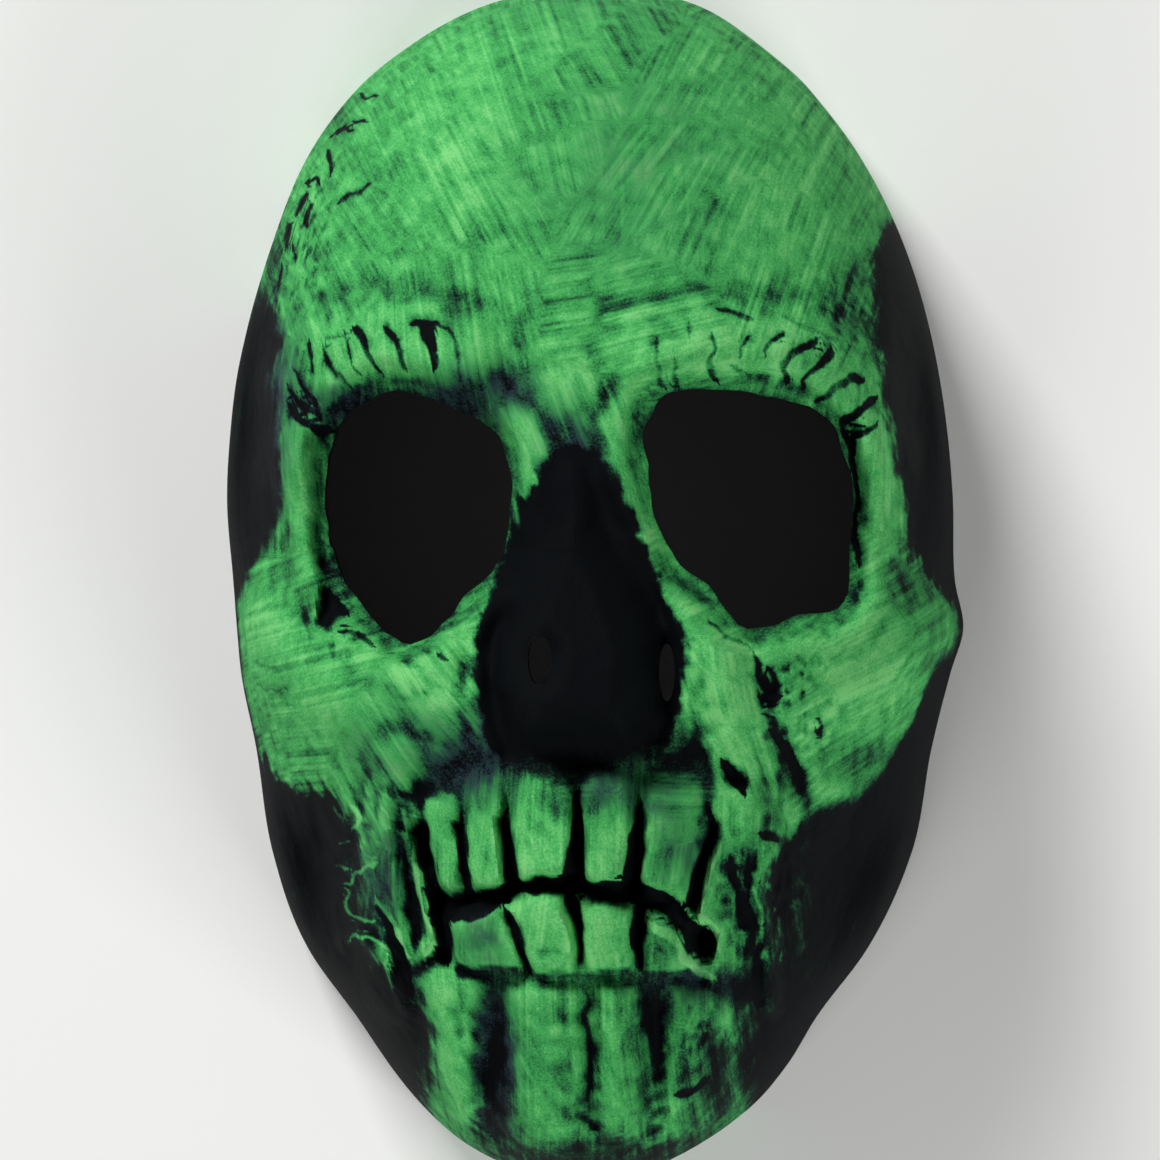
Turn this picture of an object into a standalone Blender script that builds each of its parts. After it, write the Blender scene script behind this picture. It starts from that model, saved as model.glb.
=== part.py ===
# Skull face mask in cast latex, with an elastic head strap, lying face up on its rim.
#
# Frame, in metres: +Z points out of the face, +Y to the top of the head and +X to the right of
# the picture. The rim lies in the plane z = 0. The shell is a half ellipsoid whose points are
# moved by a table of sections and by tables of ridges, hollows and teeth.

import bmesh
import bpy
import numpy as np
from mathutils import Matrix

# Driving sizes.
MASK_WIDTH = 0.155
MASK_HEIGHT = 0.248
MASK_DEPTH = 0.116
WALL = 0.0026
RELIEF = 0.005
NOSE_RISE = 0.017
STRAP_WIDTH = 0.020
STRAP_THICKNESS = 0.0015
STRAP_START = 0.001
CROWN_CLEARANCE = 0.023
TAB_LENGTH = 0.026
TAB_HEIGHT = 0.024
TAB_THICKNESS = 0.0012
GAP = 0.0003
STRAP_SEAT_GAP = 0.0007

HALF_WIDTH = MASK_WIDTH / 2
HALF_HEIGHT = MASK_HEIGHT / 2
SKIRT = 3 * WALL
PLAIN_RIM = max(TAB_HEIGHT, STRAP_WIDTH) + 2 * GAP

# Mesh counts.
OUTER_STEPS = (320, 200)
INNER_STEPS = (160, 100)
OUTER_SHARE = 0.088
INNER_SHARE = 0.17
OUTLINE_STEPS = 40
STRAP_STEPS = 40

# Sections from chin to crown. Height is a share of the half height. Left, right and front tell
# how far the section stands out against a plain ellipsoid. Corner is the section's squareness,
# with 2 for a round one.
SECTIONS = (
    # height, left, right, front, corner
    (-1.00, 0.97, 0.72, 1.80, 2.0),
    (-0.94, 0.98, 0.84, 1.64, 2.0),
    (-0.88, 0.96, 0.90, 1.46, 1.95),
    (-0.82, 0.945, 0.90, 1.33, 1.9),
    (-0.74, 0.94, 0.885, 1.19, 1.85),
    (-0.62, 0.985, 0.94, 1.06, 1.85),
    (-0.46, 0.98, 0.965, 0.97, 1.85),
    (-0.28, 0.952, 0.95, 0.90, 2.0),
    (-0.15, 0.965, 0.975, 0.855, 2.1),
    (-0.08, 0.968, 1.00, 0.84, 2.1),
    (0.00, 0.975, 0.975, 0.83, 2.1),
    (0.14, 1.00, 0.978, 0.835, 2.2),
    (0.25, 1.012, 0.985, 0.86, 2.25),
    (0.34, 1.022, 0.992, 0.90, 2.3),
    (0.42, 1.03, 1.00, 0.935, 2.25),
    (0.59, 1.06, 1.018, 0.99, 2.15),
    (0.72, 1.11, 1.030, 1.045, 2.05),
    (0.83, 1.15, 1.045, 1.09, 2.0),
    (0.95, 1.20, 1.12, 1.17, 2.0),
    (1.00, 1.30, 1.30, 1.22, 2.0),
)

# Openings, as points in turn. Across is a share of the half width, up of the half height.
LEFT_SOCKET = (
    (-0.53, 0.29), (-0.45, 0.30), (-0.35, 0.28), (-0.25, 0.25), (-0.19, 0.21), (-0.17, 0.13),
    (-0.20, 0.03), (-0.30, -0.03), (-0.35, -0.07), (-0.43, -0.10), (-0.54, -0.05), (-0.63, 0.03),
    (-0.65, 0.10), (-0.65, 0.19), (-0.60, 0.26),
)
RIGHT_SOCKET = (
    (0.16, 0.24), (0.22, 0.29), (0.35, 0.30), (0.50, 0.29), (0.63, 0.25), (0.68, 0.16),
    (0.68, 0.08), (0.66, -0.03), (0.54, -0.055), (0.41, -0.07), (0.31, 0.00), (0.24, 0.03),
    (0.19, 0.10), (0.17, 0.18),
)
NOSE_OUTLINE = (
    (-0.02, 0.20), (-0.11, 0.14), (-0.15, 0.06), (-0.20, -0.02), (-0.235, -0.10), (-0.225, -0.18),
    (-0.17, -0.27), (-0.01, -0.29), (0.15, -0.27), (0.21, -0.22), (0.245, -0.11), (0.195, -0.01),
    (0.12, 0.10), (0.055, 0.17),
)
NOSE_PROFILE = ((-0.30, 0.30), (-0.26, 0.60), (-0.20, 0.95), (-0.14, 1.0), (0.0, 0.62), (0.10, 0.30), (0.20, 0.12))
# across, up, half width, half height
NOSTRILS = {
    "left": (-0.09, -0.12, 0.03, 0.038),
    "right": (0.218, -0.14, 0.02, 0.045),
}

# Ridges and grooves along a path. Reach is a share of the half width, rise of the relief.
RIDGES = (
    # path, reach, rise
    (((-0.76, 0.20), (-0.75, 0.31), (-0.66, 0.37), (-0.53, 0.38), (-0.40, 0.37), (-0.28, 0.35)), 0.15, 1.1),
    (((0.17, 0.35), (0.32, 0.37), (0.45, 0.37), (0.58, 0.36), (0.70, 0.31), (0.75, 0.22)), 0.15, 1.1),
    (((-0.75, 0.22), (-0.73, 0.10), (-0.70, 0.00)), 0.10, 0.7),
    (((0.76, 0.22), (0.77, 0.10), (0.74, -0.02)), 0.10, 0.7),
    (((-0.02, 0.36), (-0.02, 0.26), (-0.02, 0.17)), 0.15, 0.8),
    (((-0.34, -0.17), (-0.52, -0.20), (-0.70, -0.15), (-0.88, -0.06)), 0.24, 1.7),
    (((0.36, -0.14), (0.52, -0.17), (0.70, -0.15), (0.88, -0.10), (0.97, -0.08)), 0.24, 1.7),
    (((-0.13, 0.13), (-0.19, 0.02), (-0.245, -0.08), (-0.25, -0.18), (-0.20, -0.27)), 0.04, 0.5),
    (((-0.17, 0.12), (-0.23, 0.02), (-0.285, -0.08), (-0.29, -0.18), (-0.25, -0.27)), 0.03, -0.45),
    (((0.07, 0.17), (0.14, 0.10), (0.21, 0.00), (0.265, -0.11), (0.25, -0.20), (0.20, -0.28)), 0.045, 0.4),
    # Jaw joint line under the nose, mouth, and the lower gum.
    (((-0.30, -0.29), (-0.15, -0.30), (0.02, -0.305), (0.20, -0.29)), 0.04, -0.5),
    (((-0.40, -0.39), (-0.385, -0.46), (-0.33, -0.505), (-0.265, -0.49), (-0.16, -0.48), (-0.08, -0.465),
      (0.0, -0.47), (0.15, -0.475), (0.22, -0.50), (0.275, -0.535), (0.31, -0.56)), 0.036, -1.7),
    (((-0.29, -0.613), (-0.15, -0.614), (0.0, -0.61), (0.15, -0.616), (0.31, -0.624)), 0.035, -0.6),
    # Gaps between the upper teeth.
    (((-0.385, -0.37), (-0.388, -0.45)), 0.025, -0.8),
    (((-0.282, -0.34), (-0.285, -0.41), (-0.272, -0.47)), 0.02, -0.7),
    (((-0.169, -0.345), (-0.167, -0.41), (-0.162, -0.473)), 0.025, -1.1),
    (((-0.004, -0.31), (-0.001, -0.466)), 0.028, -1.1),
    (((0.155, -0.34), (0.145, -0.41), (0.135, -0.468)), 0.025, -1.1),
    (((0.335, -0.39), (0.31, -0.445), (0.286, -0.507)), 0.032, -1.2),
    # Gaps between the lower teeth.
    (((-0.31, -0.51), (-0.335, -0.59)), 0.028, -0.7),
    (((-0.157, -0.50), (-0.14, -0.56), (-0.12, -0.60)), 0.022, -1.0),
    (((-0.009, -0.49), (-0.001, -0.54), (0.011, -0.60)), 0.022, -1.0),
    (((0.157, -0.49), (0.153, -0.55), (0.148, -0.60)), 0.022, -1.0),
    # Chin: four upright ridges and the grooves between them.
    (((-0.37, -0.64), (-0.34, -0.72), (-0.31, -0.83)), 0.09, 0.9),
    (((-0.10, -0.64), (-0.09, -0.72), (-0.10, -0.86)), 0.12, 0.8),
    (((0.085, -0.64), (0.09, -0.73), (0.095, -0.85)), 0.08, 0.8),
    (((0.30, -0.69), (0.29, -0.77), (0.25, -0.86)), 0.13, 1.0),
    (((-0.212, -0.63), (-0.215, -0.73), (-0.235, -0.87)), 0.055, -1.1),
    (((0.022, -0.63), (0.024, -0.73), (0.024, -0.85)), 0.03, -0.9),
    (((0.18, -0.64), (0.19, -0.72), (0.175, -0.86)), 0.045, -1.1),
    # Left of the mouth: the jaw strip, the hanging loop and the arc below it.
    (((-0.46, -0.28), (-0.51, -0.42), (-0.54, -0.54), (-0.49, -0.67)), 0.10, 0.8),
    (((-0.49, -0.35), (-0.47, -0.43), (-0.465, -0.52), (-0.42, -0.60), (-0.37, -0.55), (-0.40, -0.46)), 0.035, 0.7),
    (((-0.64, -0.58), (-0.56, -0.565), (-0.48, -0.60), (-0.45, -0.67)), 0.035, 0.6),
    # Right of the mouth: the upper jaw strip, its crease and the folds below.
    (((0.28, -0.06), (0.36, -0.15), (0.40, -0.28), (0.42, -0.40)), 0.10, 0.8),
    (((0.435, -0.09), (0.48, -0.18), (0.51, -0.28), (0.56, -0.34)), 0.04, -1.1),
    (((0.465, -0.42), (0.445, -0.505), (0.48, -0.60), (0.475, -0.68)), 0.04, 0.8),
)

# Hollows and swellings with an oval outline. Rise is a share of the relief.
OVALS = (
    # across, up, half width, half height, rise
    (-0.71, -0.47, 0.25, 0.19, -2.4),
    (0.69, -0.48, 0.25, 0.19, -2.2),
    (-0.90, 0.28, 0.16, 0.30, -2.0),
    (0.90, 0.28, 0.15, 0.32, -2.0),
    (-0.02, -0.46, 0.46, 0.30, 1.2),
    (0.307, -0.56, 0.055, 0.042, -2.4),
    (0.0, -0.467, 0.035, 0.024, -1.2),
    (0.13, -0.467, 0.04, 0.026, -1.2),
    (-0.09, -0.12, 0.085, 0.066, -1.1),
    (0.218, -0.14, 0.045, 0.085, -0.9),
    (0.386, -0.30, 0.05, 0.04, -1.2),
    (-0.634, -0.05, 0.05, 0.045, -0.9),
    (0.47, -0.175, 0.04, 0.03, -0.8),
)

# Teeth. Lean is in degrees, positive to the left at the top, and rise is a share of the relief.
TEETH = (
    # across, up, half width, half height, lean, rise
    (-0.328, -0.405, 0.048, 0.080, 5, 0.7),
    (-0.227, -0.393, 0.052, 0.092, 1, 0.85),
    (-0.086, -0.382, 0.076, 0.088, 0, 1.0),
    (0.072, -0.382, 0.070, 0.088, -1, 1.0),
    (0.225, -0.400, 0.068, 0.096, -6, 0.9),
    (-0.225, -0.548, 0.096, 0.050, 8, 0.8),
    (-0.072, -0.545, 0.066, 0.060, 4, 0.9),
    (0.078, -0.547, 0.066, 0.054, 0, 0.9),
    (0.232, -0.555, 0.066, 0.054, -18, 0.8),
)


def smooth_step(value):
    """0 below 0, 1 above 1, and an S between."""
    value = np.clip(value, 0, 1)
    return value * value * (3 - 2 * value)


def through(rows, column, at):
    """A smooth curve through one column of a table whose first column rises."""
    keys = np.array([row[0] for row in rows])
    values = np.array([row[column] for row in rows])
    slopes = np.gradient(values, keys)
    index = np.clip(np.searchsorted(keys, at) - 1, 0, len(keys) - 2)
    span = keys[index + 1] - keys[index]
    t = np.clip((at - keys[index]) / span, 0, 1)
    start = (1 + 2 * t) * (1 - t) ** 2 * values[index] + t * (1 - t) ** 2 * span * slopes[index]
    end = t * t * (3 - 2 * t) * values[index + 1] - t * t * (1 - t) * span * slopes[index + 1]
    return start + end


def closed_curve(points, steps):
    """A smooth closed line through the points, as an array of steps rows."""
    points = np.array(points)
    place = np.arange(steps) * len(points) / steps
    index = place.astype(int)
    t = (place - index)[:, None]
    a, b, c, d = (points[(index + shift) % len(points)] for shift in (-1, 0, 1, 2))
    return b + t / 2 * (c - a + t * (2 * a - 5 * b + 4 * c - d + t * (3 * (b - c) + d - a)))


def path_distance(x, y, path, closed=False):
    """Distance in metres to a path given in shares, and whether a point is inside a closed one."""
    path = np.array(path) * (HALF_WIDTH, HALF_HEIGHT)
    ends = np.roll(path, -1, axis=0) if closed else path[1:]
    nearest = np.full(x.shape, np.inf)
    inside = np.zeros(x.shape, bool)
    for (ax, ay), (bx, by) in zip(path, ends):
        length2 = (bx - ax) ** 2 + (by - ay) ** 2
        t = np.clip(((x - ax) * (bx - ax) + (y - ay) * (by - ay)) / length2, 0, 1)
        nearest = np.minimum(nearest, np.hypot(x - ax - t * (bx - ax), y - ay - t * (by - ay)))
        if by != ay:
            inside ^= ((ay > y) != (by > y)) & (x < ax + (y - ay) * (bx - ax) / (by - ay))
    return nearest, inside


def relief(x, y):
    """Height of the sculpted forms over the plain dome, at places given in metres."""
    across, up = x / HALF_WIDTH, y / HALF_HEIGHT
    height = np.zeros(x.shape)
    for left, middle, half_width, half_height, rise in OVALS:
        far = np.hypot((across - left) / half_width, (up - middle) / half_height)
        height += rise * RELIEF * (1 - smooth_step(far))
    for left, middle, half_width, half_height, lean, rise in TEETH:
        turn = np.radians(lean)
        dx, dy = (across - left) * HALF_WIDTH, (up - middle) * HALF_HEIGHT
        along = (dx * np.cos(turn) + dy * np.sin(turn)) / (half_width * HALF_WIDTH)
        rising = (dy * np.cos(turn) - dx * np.sin(turn)) / (half_height * HALF_HEIGHT)
        far = (along**4 + rising**4) ** 0.25
        height += rise * RELIEF * smooth_step((1.15 - far) / 0.4)
    for path, reach, rise in RIDGES:
        far, _ = path_distance(x, y, path)
        height += rise * RELIEF * (1 - smooth_step(far / (reach * HALF_WIDTH)))
    for socket in (LEFT_SOCKET, RIGHT_SOCKET):
        far, inside = path_distance(x, y, closed_curve(socket, OUTLINE_STEPS), closed=True)
        far = np.where(inside, -far, far) / (0.06 * HALF_WIDTH)
        height -= 0.8 * RELIEF * (1 - smooth_step(far))
        height += 0.4 * RELIEF * (1 - smooth_step(np.abs(far - 1.2)))
    far, inside = path_distance(x, y, closed_curve(NOSE_OUTLINE, OUTLINE_STEPS), closed=True)
    bulge = np.where(inside, smooth_step(far / (0.15 * HALF_WIDTH)), 0)
    height += NOSE_RISE * bulge * through(NOSE_PROFILE, 1, up)
    return height


def dome(points, inset):
    """The plain dome: unit sphere points moved onto the sections, inset by a wall thickness."""
    up = points[:, 1]
    ring = np.sqrt(np.clip(1 - up**2, 1e-9, 1))
    side, front = points[:, 0] / ring, np.clip(points[:, 2] / ring, 0, 1)
    power = 2 / through(SECTIONS, 4, up)
    stand_out = np.where(side < 0, through(SECTIONS, 1, up), through(SECTIONS, 2, up))
    x = (HALF_WIDTH - inset) * ring * stand_out * np.sign(side) * np.abs(side) ** power
    y = (HALF_HEIGHT - inset) * up
    z = (MASK_DEPTH - inset) * ring * through(SECTIONS, 3, up) * front**power
    return x, y, z


def wall_across(y, z, column):
    """How far out the inner wall is at a height and a depth; column 1 is the left, 2 the right."""
    up = y / (HALF_HEIGHT - WALL)
    ring = np.sqrt(1 - up**2)
    power = 2 / through(SECTIONS, 4, up)
    front = (z / ((MASK_DEPTH - WALL) * ring * through(SECTIONS, 3, up))) ** (1 / power)
    return (HALF_WIDTH - WALL) * ring * through(SECTIONS, column, up) * np.sqrt(1 - front**2) ** power


def clear_scene():
    for found in list(bpy.data.objects):
        bpy.data.objects.remove(found, do_unlink=True)


def linear(hex_colour):
    """A hex colour turned linear, with alpha."""
    parts = [int(hex_colour[i : i + 2], 16) / 255 for i in (1, 3, 5)]
    return [p / 12.92 if p <= 0.04045 else ((p + 0.055) / 1.055) ** 2.4 for p in parts] + [1.0]


def material(name, hex_colour, roughness):
    made = bpy.data.materials.new(name)
    made.use_nodes = True
    shader = made.node_tree.nodes["Principled BSDF"]
    shader.inputs["Base Color"].default_value = linear(hex_colour)
    shader.inputs["Roughness"].default_value = roughness
    shader.inputs["Metallic"].default_value = 0.0
    return made


def object_from(bm, name, surface=None, cutter=False):
    mesh = bpy.data.meshes.new(name)
    bmesh.ops.recalc_face_normals(bm, faces=bm.faces)
    bm.to_mesh(mesh)
    bm.free()
    made = bpy.data.objects.new(name, mesh)
    bpy.context.scene.collection.objects.link(made)
    if surface:
        mesh.materials.append(surface)
    if cutter:
        made.hide_render = True
        made.display_type = "WIRE"
    return made


def half_dome(steps):
    """The front half of a unit sphere with its poles on Y."""
    bm = bmesh.new()
    bmesh.ops.create_uvsphere(bm, u_segments=steps[0], v_segments=steps[1], radius=1)
    bmesh.ops.rotate(bm, verts=bm.verts, matrix=Matrix.Rotation(np.pi / 2, 3, "X"))
    behind = [vert for vert in bm.verts if vert.co.z < -1e-4]
    bmesh.ops.delete(bm, geom=behind, context="VERTS")
    return bm


def sculpted(name, inset, skirt, share):
    """One closed body under the sculpted face, with a straight skirt below the rim."""
    bm = half_dome(INNER_STEPS if inset else OUTER_STEPS)
    points = np.array([vert.co for vert in bm.verts])
    x, y, z = dome(points, inset)
    height = relief(x, y)
    if inset:
        # The back of the wall follows the lowest of the forms around each place.
        for turn in np.radians(range(0, 360, 45)):
            shift_x, shift_y = 0.9 * inset * np.cos(turn), 0.9 * inset * np.sin(turn)
            height = np.minimum(height, relief(x + shift_x, y + shift_y))
    # The wall stays plain beside the strap.
    z = z + height * smooth_step((z - PLAIN_RIM) / (0.25 * MASK_DEPTH))
    for vert, place in zip(bm.verts, zip(x, y, z)):
        vert.co = place
    rim = [edge for edge in bm.edges if edge.is_boundary]
    wall = bmesh.ops.extrude_edge_only(bm, edges=rim)["geom"]
    lowered = [item for item in wall if isinstance(item, bmesh.types.BMVert)]
    bmesh.ops.translate(bm, verts=lowered, vec=(0, 0, -skirt))
    bmesh.ops.holes_fill(bm, edges=[edge for edge in bm.edges if edge.is_boundary])
    made = object_from(bm, name, cutter=bool(inset))
    fewer = made.modifiers.new("Fewer faces", "DECIMATE")
    fewer.ratio = share
    return made


def prism(name, outline):
    """A cutter that stands on an outline and runs through the whole depth of the face."""
    bm = bmesh.new()
    bmesh.ops.create_circle(bm, cap_ends=True, segments=len(outline), radius=1)
    for vert, (x, y) in zip(list(bm.verts), outline):
        vert.co = (x, y, WALL)
    raised = bmesh.ops.extrude_face_region(bm, geom=list(bm.faces))["geom"]
    top = [item for item in raised if isinstance(item, bmesh.types.BMVert)]
    bmesh.ops.translate(bm, verts=top, vec=(0, 0, MASK_DEPTH + NOSE_RISE + RELIEF))
    return object_from(bm, name, cutter=True)


def block(name, low, high, surface=None, cutter=False):
    """A box between two corners."""
    low, high = np.array(low), np.array(high)
    bm = bmesh.new()
    bmesh.ops.create_cube(bm, size=1)
    bmesh.ops.scale(bm, verts=bm.verts, vec=high - low)
    bmesh.ops.translate(bm, verts=bm.verts, vec=(high + low) / 2)
    return object_from(bm, name, surface, cutter)


def mask_shell():
    shell = sculpted("mask_shell", 0, SKIRT, OUTER_SHARE)
    shell.data.materials.append(material("Painted latex", "#2F8F52", 0.55))
    cutters = [sculpted("cutter_hollow", WALL, 2 * SKIRT, INNER_SHARE)]
    for name, socket in (("left_socket", LEFT_SOCKET), ("right_socket", RIGHT_SOCKET)):
        outline = closed_curve(socket, OUTLINE_STEPS) * (HALF_WIDTH, HALF_HEIGHT)
        cutters.append(prism("cutter_" + name, outline))
    turns = np.linspace(0, 2 * np.pi, 16, endpoint=False)
    for side, (across, up, half_width, half_height) in NOSTRILS.items():
        x = (across + half_width * np.cos(turns)) * HALF_WIDTH
        y = (up + half_height * np.sin(turns)) * HALF_HEIGHT
        cutters.append(prism(f"cutter_{side}_nostril", list(zip(x, y))))
    deep = 3 * SKIRT
    cutters.append(block("cutter_rim", (-MASK_WIDTH, -MASK_HEIGHT, -deep), (MASK_WIDTH, MASK_HEIGHT, 0), cutter=True))
    together = bpy.data.collections.new("mask_cutters")
    for cutter in cutters:
        together.objects.link(cutter)
    bite = shell.modifiers.new("Hollow and openings", "BOOLEAN")
    bite.operation = "DIFFERENCE"
    bite.solver = "EXACT"
    bite.operand_type = "COLLECTION"
    bite.collection = together
    shell.data.shade_smooth()
    return shell


def strap_route():
    """Plan of the strap: straight along the tabs, then a half oval round the forehead."""
    start, end = STRAP_START, STRAP_START + TAB_LENGTH
    top = STRAP_WIDTH + GAP
    left, right = (
        min(wall_across(start, top, column), wall_across(end, top, column)) - STRAP_SEAT_GAP for column in (1, 2)
    )
    turns = np.linspace(0, np.pi, STRAP_STEPS)
    arc_rise = HALF_HEIGHT - WALL - CROWN_CLEARANCE - end
    x = -np.where(turns < np.pi / 2, left, right) * np.cos(turns)
    y = end + arc_rise * np.sin(turns)
    x = np.concatenate([[-left], x, [right]])
    y = np.concatenate([[start], y, [start]])
    return x, y, left, right


def elastic_strap():
    x, y, left, right = strap_route()
    bm = bmesh.new()
    bmesh.ops.create_grid(bm, x_segments=len(x) - 1, y_segments=1, size=1)
    for vert in bm.verts:
        index = round((vert.co.x + 1) / 2 * (len(x) - 1))
        edge = GAP + STRAP_WIDTH * (vert.co.y > 0)
        vert.co = (x[index], y[index], edge)
    strap = object_from(bm, "elastic_strap", material("Woven elastic", "#101010", 0.85))
    thick = strap.modifiers.new("Thickness", "SOLIDIFY")
    thick.thickness = STRAP_THICKNESS
    thick.offset = 1 if strap.data.polygons[0].normal.x > 0 else -1
    strap.data.shade_smooth()
    surface = material("Glued fabric patch", "#151515", 0.9)
    for name, side, across in (("strap_tab_left", -1, left), ("strap_tab_right", 1, right)):
        outer = across - STRAP_THICKNESS - GAP
        inner = outer - TAB_THICKNESS
        low = (min(side * inner, side * outer), STRAP_START, GAP)
        high = (max(side * inner, side * outer), STRAP_START + TAB_LENGTH, GAP + TAB_HEIGHT)
        block(name, low, high, surface)


clear_scene()
mask_shell()
elastic_strap()
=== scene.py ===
# %% [markdown]
# This lesson dresses a skull face mask. The real one is cast in a mould from black latex, trimmed
# along its rim and round its eye sockets, and then dry-brushed by hand with luminous green paint.
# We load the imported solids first, because they fix every size, and keep their box to compare with.

import bmesh
import bpy
import numpy as np
from mathutils import Matrix, Vector, noise
from mathutils.kdtree import KDTree


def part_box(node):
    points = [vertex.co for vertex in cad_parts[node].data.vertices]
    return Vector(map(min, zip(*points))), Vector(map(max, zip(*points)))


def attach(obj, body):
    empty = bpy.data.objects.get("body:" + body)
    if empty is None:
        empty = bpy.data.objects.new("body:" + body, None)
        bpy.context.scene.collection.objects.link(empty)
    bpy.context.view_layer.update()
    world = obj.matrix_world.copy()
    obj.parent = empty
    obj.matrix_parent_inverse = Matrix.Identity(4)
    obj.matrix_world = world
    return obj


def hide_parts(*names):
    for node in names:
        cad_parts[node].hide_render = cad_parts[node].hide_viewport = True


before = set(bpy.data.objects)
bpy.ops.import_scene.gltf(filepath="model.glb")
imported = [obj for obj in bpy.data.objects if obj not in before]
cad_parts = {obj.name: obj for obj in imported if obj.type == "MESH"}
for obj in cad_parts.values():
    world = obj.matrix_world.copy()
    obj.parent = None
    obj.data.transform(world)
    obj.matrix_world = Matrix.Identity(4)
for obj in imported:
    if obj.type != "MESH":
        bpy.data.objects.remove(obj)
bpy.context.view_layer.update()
shell_low, shell_high = (np.array(corner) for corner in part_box("mask_shell"))
print("mask solid, mm:", np.round((shell_high - shell_low) * 1000, 1))

# %% [markdown]
# The driving sizes are those of the solid. Places on the face are given as shares of the half
# width and half height, so that one table serves the sculpting and the painting.

# %% Driving sizes
MASK_WIDTH = 0.155
MASK_HEIGHT = 0.248
MASK_DEPTH = 0.116
WALL = 0.0026
RELIEF = 0.005
NOSE_RISE = 0.017
HALF_WIDTH = MASK_WIDTH / 2
HALF_HEIGHT = MASK_HEIGHT / 2
SKIRT = 3 * WALL
PLAIN_RIM = 0.0246
print("height against the solid's, mm:", (MASK_HEIGHT - (shell_high - shell_low)[1]) * 1000)

# %% [markdown]
# The head's plain form is a stack of sections, as a lofted hull would be. Each row says how far
# the outline and the front stand out against an ellipsoid, and how square the section is.

# %% Sections of the head
SECTIONS = (
    # height, left, right, front, corner
    (-1.00, 0.97, 0.72, 1.80, 2.0),
    (-0.94, 0.98, 0.84, 1.64, 2.0),
    (-0.88, 0.96, 0.90, 1.46, 1.95),
    (-0.82, 0.945, 0.90, 1.33, 1.9),
    (-0.74, 0.94, 0.885, 1.19, 1.85),
    (-0.62, 0.985, 0.94, 1.06, 1.85),
    (-0.46, 0.98, 0.965, 0.97, 1.85),
    (-0.28, 0.952, 0.95, 0.90, 2.0),
    (-0.15, 0.965, 0.975, 0.855, 2.1),
    (-0.08, 0.968, 1.00, 0.84, 2.1),
    (0.00, 0.975, 0.975, 0.83, 2.1),
    (0.14, 1.00, 0.978, 0.835, 2.2),
    (0.25, 1.012, 0.985, 0.86, 2.25),
    (0.34, 1.022, 0.992, 0.90, 2.3),
    (0.42, 1.03, 1.00, 0.935, 2.25),
    (0.59, 1.06, 1.018, 0.99, 2.15),
    (0.72, 1.11, 1.030, 1.045, 2.05),
    (0.83, 1.15, 1.045, 1.09, 2.0),
    (0.95, 1.20, 1.12, 1.17, 2.0),
    (1.00, 1.30, 1.30, 1.22, 2.0),
)


def smooth_step(value):
    """0 below 0, 1 above 1, and an S between."""
    value = np.clip(value, 0, 1)
    return value * value * (3 - 2 * value)


def through(rows, column, at):
    """A smooth curve through one column of a table whose first column rises."""
    keys = np.array([row[0] for row in rows])
    values = np.array([row[column] for row in rows])
    slopes = np.gradient(values, keys)
    index = np.clip(np.searchsorted(keys, at) - 1, 0, len(keys) - 2)
    span = keys[index + 1] - keys[index]
    t = np.clip((at - keys[index]) / span, 0, 1)
    start = (1 + 2 * t) * (1 - t) ** 2 * values[index] + t * (1 - t) ** 2 * span * slopes[index]
    end = t * t * (3 - 2 * t) * values[index + 1] - t * t * (1 - t) * span * slopes[index + 1]
    return start + end


def dome(points, inset):
    """Unit sphere points moved onto the sections, inset by a wall thickness."""
    up = points[:, 1]
    ring = np.sqrt(np.clip(1 - up**2, 1e-9, 1))
    side, front = points[:, 0] / ring, np.clip(points[:, 2] / ring, 0, 1)
    power = 2 / through(SECTIONS, 4, up)
    stand_out = np.where(side < 0, through(SECTIONS, 1, up), through(SECTIONS, 2, up))
    x = (HALF_WIDTH - inset) * ring * stand_out * np.sign(side) * np.abs(side) ** power
    y = (HALF_HEIGHT - inset) * up
    z = (MASK_DEPTH - inset) * ring * through(SECTIONS, 3, up) * front**power
    return x, y, z


# %% [markdown]
# The openings and the nose cavity are closed curves through a few points. A distance to such a
# curve gives rims and bevels for free, which is why we keep them as outlines and not as meshes.

# %% Outlines
LEFT_SOCKET = (
    (-0.53, 0.29), (-0.45, 0.30), (-0.35, 0.28), (-0.25, 0.25), (-0.19, 0.21), (-0.17, 0.13),
    (-0.20, 0.03), (-0.30, -0.03), (-0.35, -0.07), (-0.43, -0.10), (-0.54, -0.05), (-0.63, 0.03),
    (-0.65, 0.10), (-0.65, 0.19), (-0.60, 0.26),
)
RIGHT_SOCKET = (
    (0.16, 0.24), (0.22, 0.29), (0.35, 0.30), (0.50, 0.29), (0.63, 0.25), (0.68, 0.16),
    (0.68, 0.08), (0.66, -0.03), (0.54, -0.055), (0.41, -0.07), (0.31, 0.00), (0.24, 0.03),
    (0.19, 0.10), (0.17, 0.18),
)
NOSE_OUTLINE = (
    (-0.02, 0.20), (-0.11, 0.14), (-0.15, 0.06), (-0.20, -0.02), (-0.235, -0.10), (-0.225, -0.18),
    (-0.17, -0.27), (-0.01, -0.29), (0.15, -0.27), (0.21, -0.22), (0.245, -0.11), (0.195, -0.01),
    (0.12, 0.10), (0.055, 0.17),
)
NOSE_PROFILE = (
    # height, rise
    (-0.30, 0.30), (-0.26, 0.60), (-0.20, 0.95), (-0.14, 1.0), (0.0, 0.62), (0.10, 0.30), (0.20, 0.12),
)
NOSTRILS = {
    # across, up, half width, half height
    "left": (-0.09, -0.12, 0.03, 0.038),
    "right": (0.218, -0.14, 0.02, 0.045),
}
OUTLINE_STEPS = 72


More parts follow.
